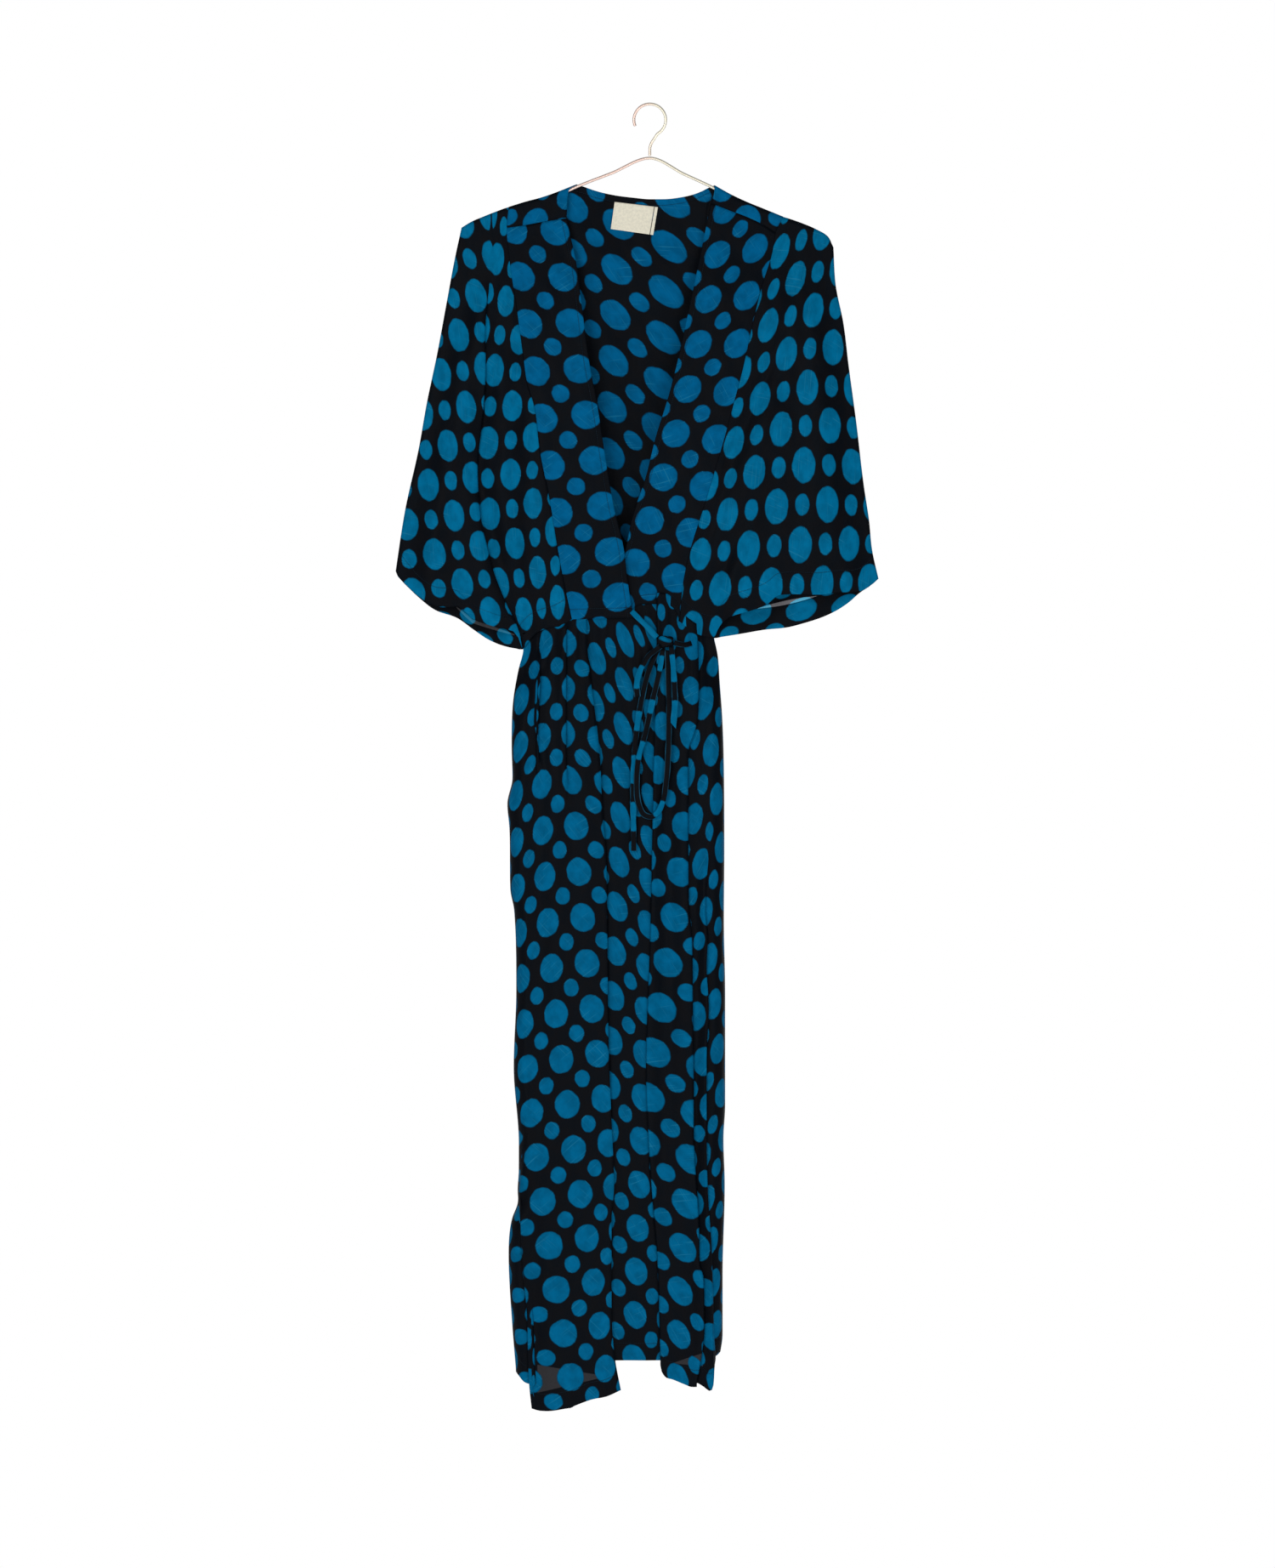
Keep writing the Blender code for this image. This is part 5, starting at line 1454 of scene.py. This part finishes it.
# %% Routes: x, drop, forward of the right skirt front's plain surface
RIBBON, RIBBON_THICK, RIBBON_WALL = 7.0, 1.1, 0.3
STRAP_LEFT = [
    (-21.5, 533.5, 6.6), (-17, 538, 6.8), (-10, 545, 7.2), (-2, 553, 8), (4.5, 560.5, 8.5),
    (8.2, 564.5, 8.5),
]
STRAP_RIGHT = [(49, 571, 4.2), (42, 573, 5.5), (34, 572, 7.5), (28.8, 570.5, 8.5)]
LOOP_SHORT = [
    (12.4, 574.8, 11.6), (6, 580, 11), (0.5, 584, 11), (-6, 593, 11), (-12.5, 606, 10.5),
    (-15.5, 622, 10.2), (-14.5, 634, 10),
]
LOOP_LONG = [
    (15.2, 578.5, 8.2), (12, 600, 8), (3, 640, 7.8), (-6, 680, 7.6), (-13, 705, 7.5),
    (-15.5, 735, 7.5), (-12.5, 762, 7.5), (-6, 773, 7.5), (1.5, 775, 7.5), (9, 770, 7.5),
    (15, 758, 7.5), (19, 735, 7.6), (21.5, 700, 7.8), (22.5, 650, 8), (21.5, 600, 8.2),
    (21.2, 579.5, 8.2),
]
TIE_END_SHORT = [
    (25.2, 575.2, 11.6), (27.5, 600, 10.5), (29, 625, 10.2), (29.5, 640, 10.2), (27.5, 668, 10.2),
]
TIE_END_LONG = [
    (10.6, 575.3, 5.2), (0, 600, 5.2), (-12, 650, 5), (-18, 700, 4.8), (-19.5, 760, 4.8),
    (-18.8, 815, 4.8),
]
# Where each strap's length shows a blue dot, from and to in mm
BLUE_RUNS = {
    "silk_strap_left": [(-4, 60)], "silk_strap_right": [(40, 50)], "silk_loop_short": [(31, 60)],
    "silk_loop_long": [(7, 26), (60, 77), (110, 133), (211, 232)],
    "silk_end_short": [(9, 42), (63, 98)], "silk_end_long": [(79, 103), (131, 165), (186, 221)],
}


def beside_runs(runs, at):
    """How far a length lies outside the nearest of the runs; less than 0 inside it."""
    outside = [np.maximum(low - at, at - high) for low, high in runs]
    return np.min(outside, axis=0)


def ribbon(name, route, phase, material, turn=0.0, pointed=False):
    """A flattened tube along a smooth route: round its middle line an ellipse that is wide across
    and thin to the front, leaning a little as it goes."""
    steps_in = lambda length: max(8, int(length / 2.2))
    at, (x, drop, forward), heading, side = walked(route, steps_in)
    around = np.linspace(0, 2 * math.pi, 17)
    wide = RIBBON / 2 * (1 - 0.1 * np.sin(at / 17 + phase))
    wide = wide * (1 - 0.12 * np.sin(at / 7.3 + 2 * phase) ** 2)
    lean = turn * np.sin(at / 31 + 3 * phase) * smooth(at / 12) * smooth((at[-1] - at) / 12)
    wide, lean = wide[:, None], lean[:, None]
    across = np.sign(np.cos(around)) * np.abs(np.cos(around)) ** 0.7
    thick = np.sin(around) * RIBBON_THICK / 2
    out = wide * across * np.cos(lean) - thick * np.sin(lean)
    front = wide * across * np.sin(lean) + thick * np.cos(lean)
    near_end = smooth((at - at[-1] + 9) / 9)[:, None]
    slope = 0.45 * RIBBON * near_end * across if pointed else 0.0
    px = x[:, None] + side[:, :1] * out + heading[:, :1] * slope
    pd = drop[:, None] + side[:, 1:] * out + heading[:, 1:] * slope
    depth = -(skirt_depth(x, drop) + forward)[:, None] - front
    points = np.stack([px, depth, pd], -1)
    beyond = LARGE + np.clip(beside_runs(BLUE_RUNS[name], at), -LARGE, 10)
    print_map = np.stack(np.broadcast_arrays(out / REPEAT[0], beyond[:, None] / REPEAT[1]), -1)
    seams = np.stack(np.broadcast_arrays(at[:, None], 1000.0 + 0 * out), -1) * MM
    turned = tuple(part[:, ::-1] for part in (points, print_map, seams))
    return cloth(name, [turned + (0,)], material, RIBBON_WALL)


strap_left = ribbon("silk_strap_left", STRAP_LEFT, 0.95, silk_tie)
strap_right = ribbon("silk_strap_right", STRAP_RIGHT, 0.4, silk_tie)
loop_short = ribbon("silk_loop_short", LOOP_SHORT, 0.3, silk_tie, 0.25)
loop_long = ribbon("silk_loop_long", LOOP_LONG, 0.45, silk_tie, 0.3)
end_short = ribbon("silk_end_short", TIE_END_SHORT, 0.6, silk_tie, 0.25, True)
end_long = ribbon("silk_end_long", TIE_END_LONG, 0.7, silk_tie, 0.2)

# %% Knot
KNOT = (18.5, 569.5, 7.8)  # x, drop, forward
KNOT_SIZE = (19.0, 8.5, 13.0)  # across, deep, down
KNOT_PRINT = (0.25, 0.26)  # repeats across and down: where the edges of two dots lie close


def knot(material):
    """Wrapped cloth: a ball swollen to a block, with ridges that run round it as the turns of the
    strap do, pulled in between them."""
    u, v = np.meshgrid(np.linspace(0, 2 * math.pi, 65), np.linspace(0.02, math.pi - 0.02, 41))
    ball = np.stack([np.sin(v) * np.cos(u), np.sin(v) * np.sin(u), np.cos(v)], -1)
    block = ball / (np.sum(np.abs(ball) ** 3, axis=-1, keepdims=True) ** (1 / 3))
    run = 5.5 * block[..., :1] + 3.0 * block[..., 2:] + 1.2 * np.sin(2 * u[..., None])
    turns = 1 + 0.1 * np.sin(run)
    x, drop, forward = KNOT
    place = np.array([x, -(float(skirt_depth(np.array(x), np.array(drop))) + forward), drop])
    points = place + block * turns * np.array(KNOT_SIZE) / 2
    across = KNOT_PRINT[0] + 0.04 * np.sin(3 * v + u)
    down = KNOT_PRINT[1] + 0.045 * np.sin(2 * u + v)
    print_map = np.stack([across, down], -1)
    return cloth("silk_knot", [(points, print_map, no_seam(print_map), 0)], material, 0.0)


tie_knot = knot(silk_tie)

# %% [markdown]
# ## Neck label
# A small woven label is sewn inside the back neck, with the end of a second one folded beneath
# it. It is left bare.

# %% Label
LABEL_CORNERS = [(-41.5, 51), (9.5, 57), (4, 90), (-46, 83)]
LABEL_WIDTH, LABEL_HEIGHT, LABEL_WALL = 51, 33, 0.35
CREAM = (0.93, 0.87, 0.70, 1)
WEAVE = 9.0  # turns of a thread in radians each mm


def woven(name, color):
    """Fine weave: two crossed waves, a tenth of a millimetre high."""
    m = Maker(name)
    place = m.vector("MULTIPLY", m.uv("Print"), (REPEAT[0], REPEAT[1], 1))
    run, rise, _ = m.parts(place)
    weft = m.math("SINE", m.math("MULTIPLY", run, WEAVE))
    warp = m.math("SINE", m.math("MULTIPLY", rise, WEAVE))
    cloudy = m.noise(place, 0.35, 4.0, 0.6)
    height = m.math("ADD", m.math("MULTIPLY", m.math("MULTIPLY", weft, warp), 0.5), cloudy)
    return m.finish(
        Base_Color=m.mix(m.ramp(cloudy, 0.3, 0.7), shade(color, 0.86), color),
        Normal=m.bump(height, 0.4, 0.0002), Roughness=0.75, Specular_IOR_Level=0.3,
        Sheen_Weight=0.15,
    )


label_cloth = woven("label_cloth", CREAM)


def label(name, low, high, raised, material):
    """The stretch of the label between two shares of its width, standing off the back panel."""
    corners = np.array(LABEL_CORNERS, float)
    a, b = np.meshgrid(np.linspace(low, high, 40), np.linspace(0, 1, 24))
    a3, b3 = a[..., None], b[..., None]
    upper = corners[0] * (1 - a3) + corners[1] * a3
    lower = corners[3] * (1 - a3) + corners[2] * a3
    x, drop = np.moveaxis(upper * (1 - b3) + lower * b3, -1, 0)
    lift = raised + 0.35 * np.sin(math.pi * a * 1.3) + 0.25 * b ** 2
    depth = back_depth(x, drop) + upper_life(x, drop, BODICE_SEED[1]) - lift
    points = np.stack([x, depth, drop], -1)
    print_map = np.stack([a * LABEL_WIDTH / REPEAT[0], b * LABEL_HEIGHT / REPEAT[1]], -1)
    return cloth(name, [(points, print_map, no_seam(print_map), -1)], material, LABEL_WALL)


neck_label = label("label_upper", 0.0, 0.915, 1.35, label_cloth)
label_strip = label("label_strip", 0.93, 1.0, 0.6, label_cloth)

# %% [markdown]
# ## Hanger
# The hanger is bent plated wire, its colour painted copper-pink at the left and pale gold at the
# right, where the light falls differently. A round profile is carried along the wire's path.

# %% Wire
WIRE = 3.4
# Plating colours as lit: painted pink on the left arm, pale gold on the right
LIT_PINK_LEFT, LIT_GOLD_RIGHT = (0.95, 0.70, 0.60, 1), (0.98, 0.90, 0.72, 1)
ARM_LEFT = [
    (0, 0), (-45, 17.7), (-88, 34.6), (-94, 37.3), (-104, 41.5), (-128, 50), (-145, 54.6),
    (-166, 61.5), (-177, 65.6), (-196, 73.2), (-208, 78.5),
]
ARM_RIGHT = [
    (0, 0), (40, 18.7), (76, 35.6), (92, 44.4), (114, 55.2), (130, 62), (157, 73), (180, 81.2),
    (196, 88.5), (206, 95),
]
WIRE_END = 1.2  # how far the wire's cut ends are rounded
HOOK_ARC = (-58, 205)  # degrees from the right, anticlockwise
HOOK_RADIUS = 17.0
HOOK_STEM = [(0, -0.5), (0, -9), (1.5, -15), (5.5, -21.5)]


def tube(name, route, radius, material, step=1.5):
    """A circle carried along a path in the hanger's plane, closed by a point at each end."""
    at, (x, drop), _, side = walked(route, lambda length: int(length / step))
    end_turn = 1 - np.minimum(at, at[-1] - at) / WIRE_END
    taper = np.sqrt(np.clip(1 - end_turn.clip(0, 1) ** 2, 1e-4, 1))
    around = np.linspace(0, 2 * math.pi, 17)
    out = radius * taper[:, None] * np.cos(around)
    deep = radius * taper[:, None] * np.sin(around)
    points = np.stack([x[:, None] + side[:, :1] * out, deep, drop[:, None] + side[:, 1:] * out], -1)
    print_map = np.stack(np.broadcast_arrays(at[:, None] / REPEAT[0], around / REPEAT[1]), -1)
    return cloth(name, [(points, print_map, no_seam(print_map), 0)], material, 0.0)


def plated(name):
    """Bare metal, painted pinker at the left as light falls there, with fine drawn lines along the
    wire.
    """
    m = Maker(name)
    position = m.object_place()
    # Painted light: the plating's colour goes from pink on the left to pale gold on the right
    side = m.ramp(m.parts(position)[0], -0.012, 0.012)
    scratch = m.noise(m.vector("MULTIPLY", position, (60, 900, 900)), 4.0, 3.0, 0.6)
    return m.finish(
        Base_Color=m.mix(side, LIT_PINK_LEFT, LIT_GOLD_RIGHT), Roughness=m.ramp(scratch, 0.3, 0.7, 0.3, 0.45),
        Normal=m.bump(scratch, 0.15, 0.0001), Metallic=0.75,
    )


wire = plated("plated_wire")
arms = tube("wire_arms", ARM_LEFT[::-1] + ARM_RIGHT[1:], WIRE / 2, wire)
angles = np.radians(np.linspace(*HOOK_ARC, 40))
reach = HOOK_RADIUS + WIRE / 2
arc = [(reach * math.cos(t), -(HOOK_RISE - HOOK_RADIUS) - reach * math.sin(t)) for t in angles]
hook = tube("wire_hook", [(x, drop - WIRE / 2) for x, drop in HOOK_STEM] + arc, WIRE / 2, wire, 1.0)

# %% [markdown]
# ## Pieces on the body
# Every piece rides on the one body and hides the solid that it stands for. Each row of the table
# also gives a slot and the flat size that a piece of cloth was cut to.

# %% Pieces, solids, slots and cuts
CUTS = [
    (sleeve_left, "sleeve_left", "silk", (0.44, 0.50), "folded", 0.14),
    (sleeve_right, "sleeve_right", "silk", (0.44, 0.50), "folded", 0.15),
    (bodice_back, "back_bodice", "silk", (0.34, 0.56), "hung", 0.125),
    (bodice_left, "front_bodice_left", "silk", (0.10, 0.47), "hung", 0.037),
    (bodice_right, "front_bodice_right", "silk", (0.13, 0.50), "hung", 0.041),
    (skirt_left, "skirt_front_left", "silk", (0.15, 0.93), "gathered", None),
    (skirt_right, "skirt_front_right", "silk", (0.24, 0.88), "gathered", None),
    (skirt_back, "skirt_back", "silk", (0.34, 0.87), "gathered", None),
    (strap_left, "tie_strap_left", "tie_silk", (0.013, 0.048), "stretched", None),
    (strap_right, "tie_strap_right", "tie_silk", (0.013, 0.021), "stretched", None),
    (loop_short, "bow_loop_short", "tie_silk", (0.013, 0.069), "hung", None),
    (loop_long, "bow_loop_long", "tie_silk", (0.013, 0.43), "hung", None),
    (end_short, "tie_end_short", "tie_silk", (0.013, 0.094), "hung", None),
    (end_long, "tie_end_long", "tie_silk", (0.013, 0.245), "hung", None),
]
for piece, node, slot, flat, held, area in CUTS:
    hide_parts(node)
    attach(piece, "root")
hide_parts("neck_label")
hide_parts("tie_knot")
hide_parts("hanger_arms")
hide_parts("hanger_hook")
OTHERS = [
    (neck_label, "label_cloth"), (label_strip, "label_cloth"), (tie_knot, "tie_silk"),
    (arms, "wire"), (hook, "wire"),
]
for piece, slot in OTHERS:
    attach(piece, "root")
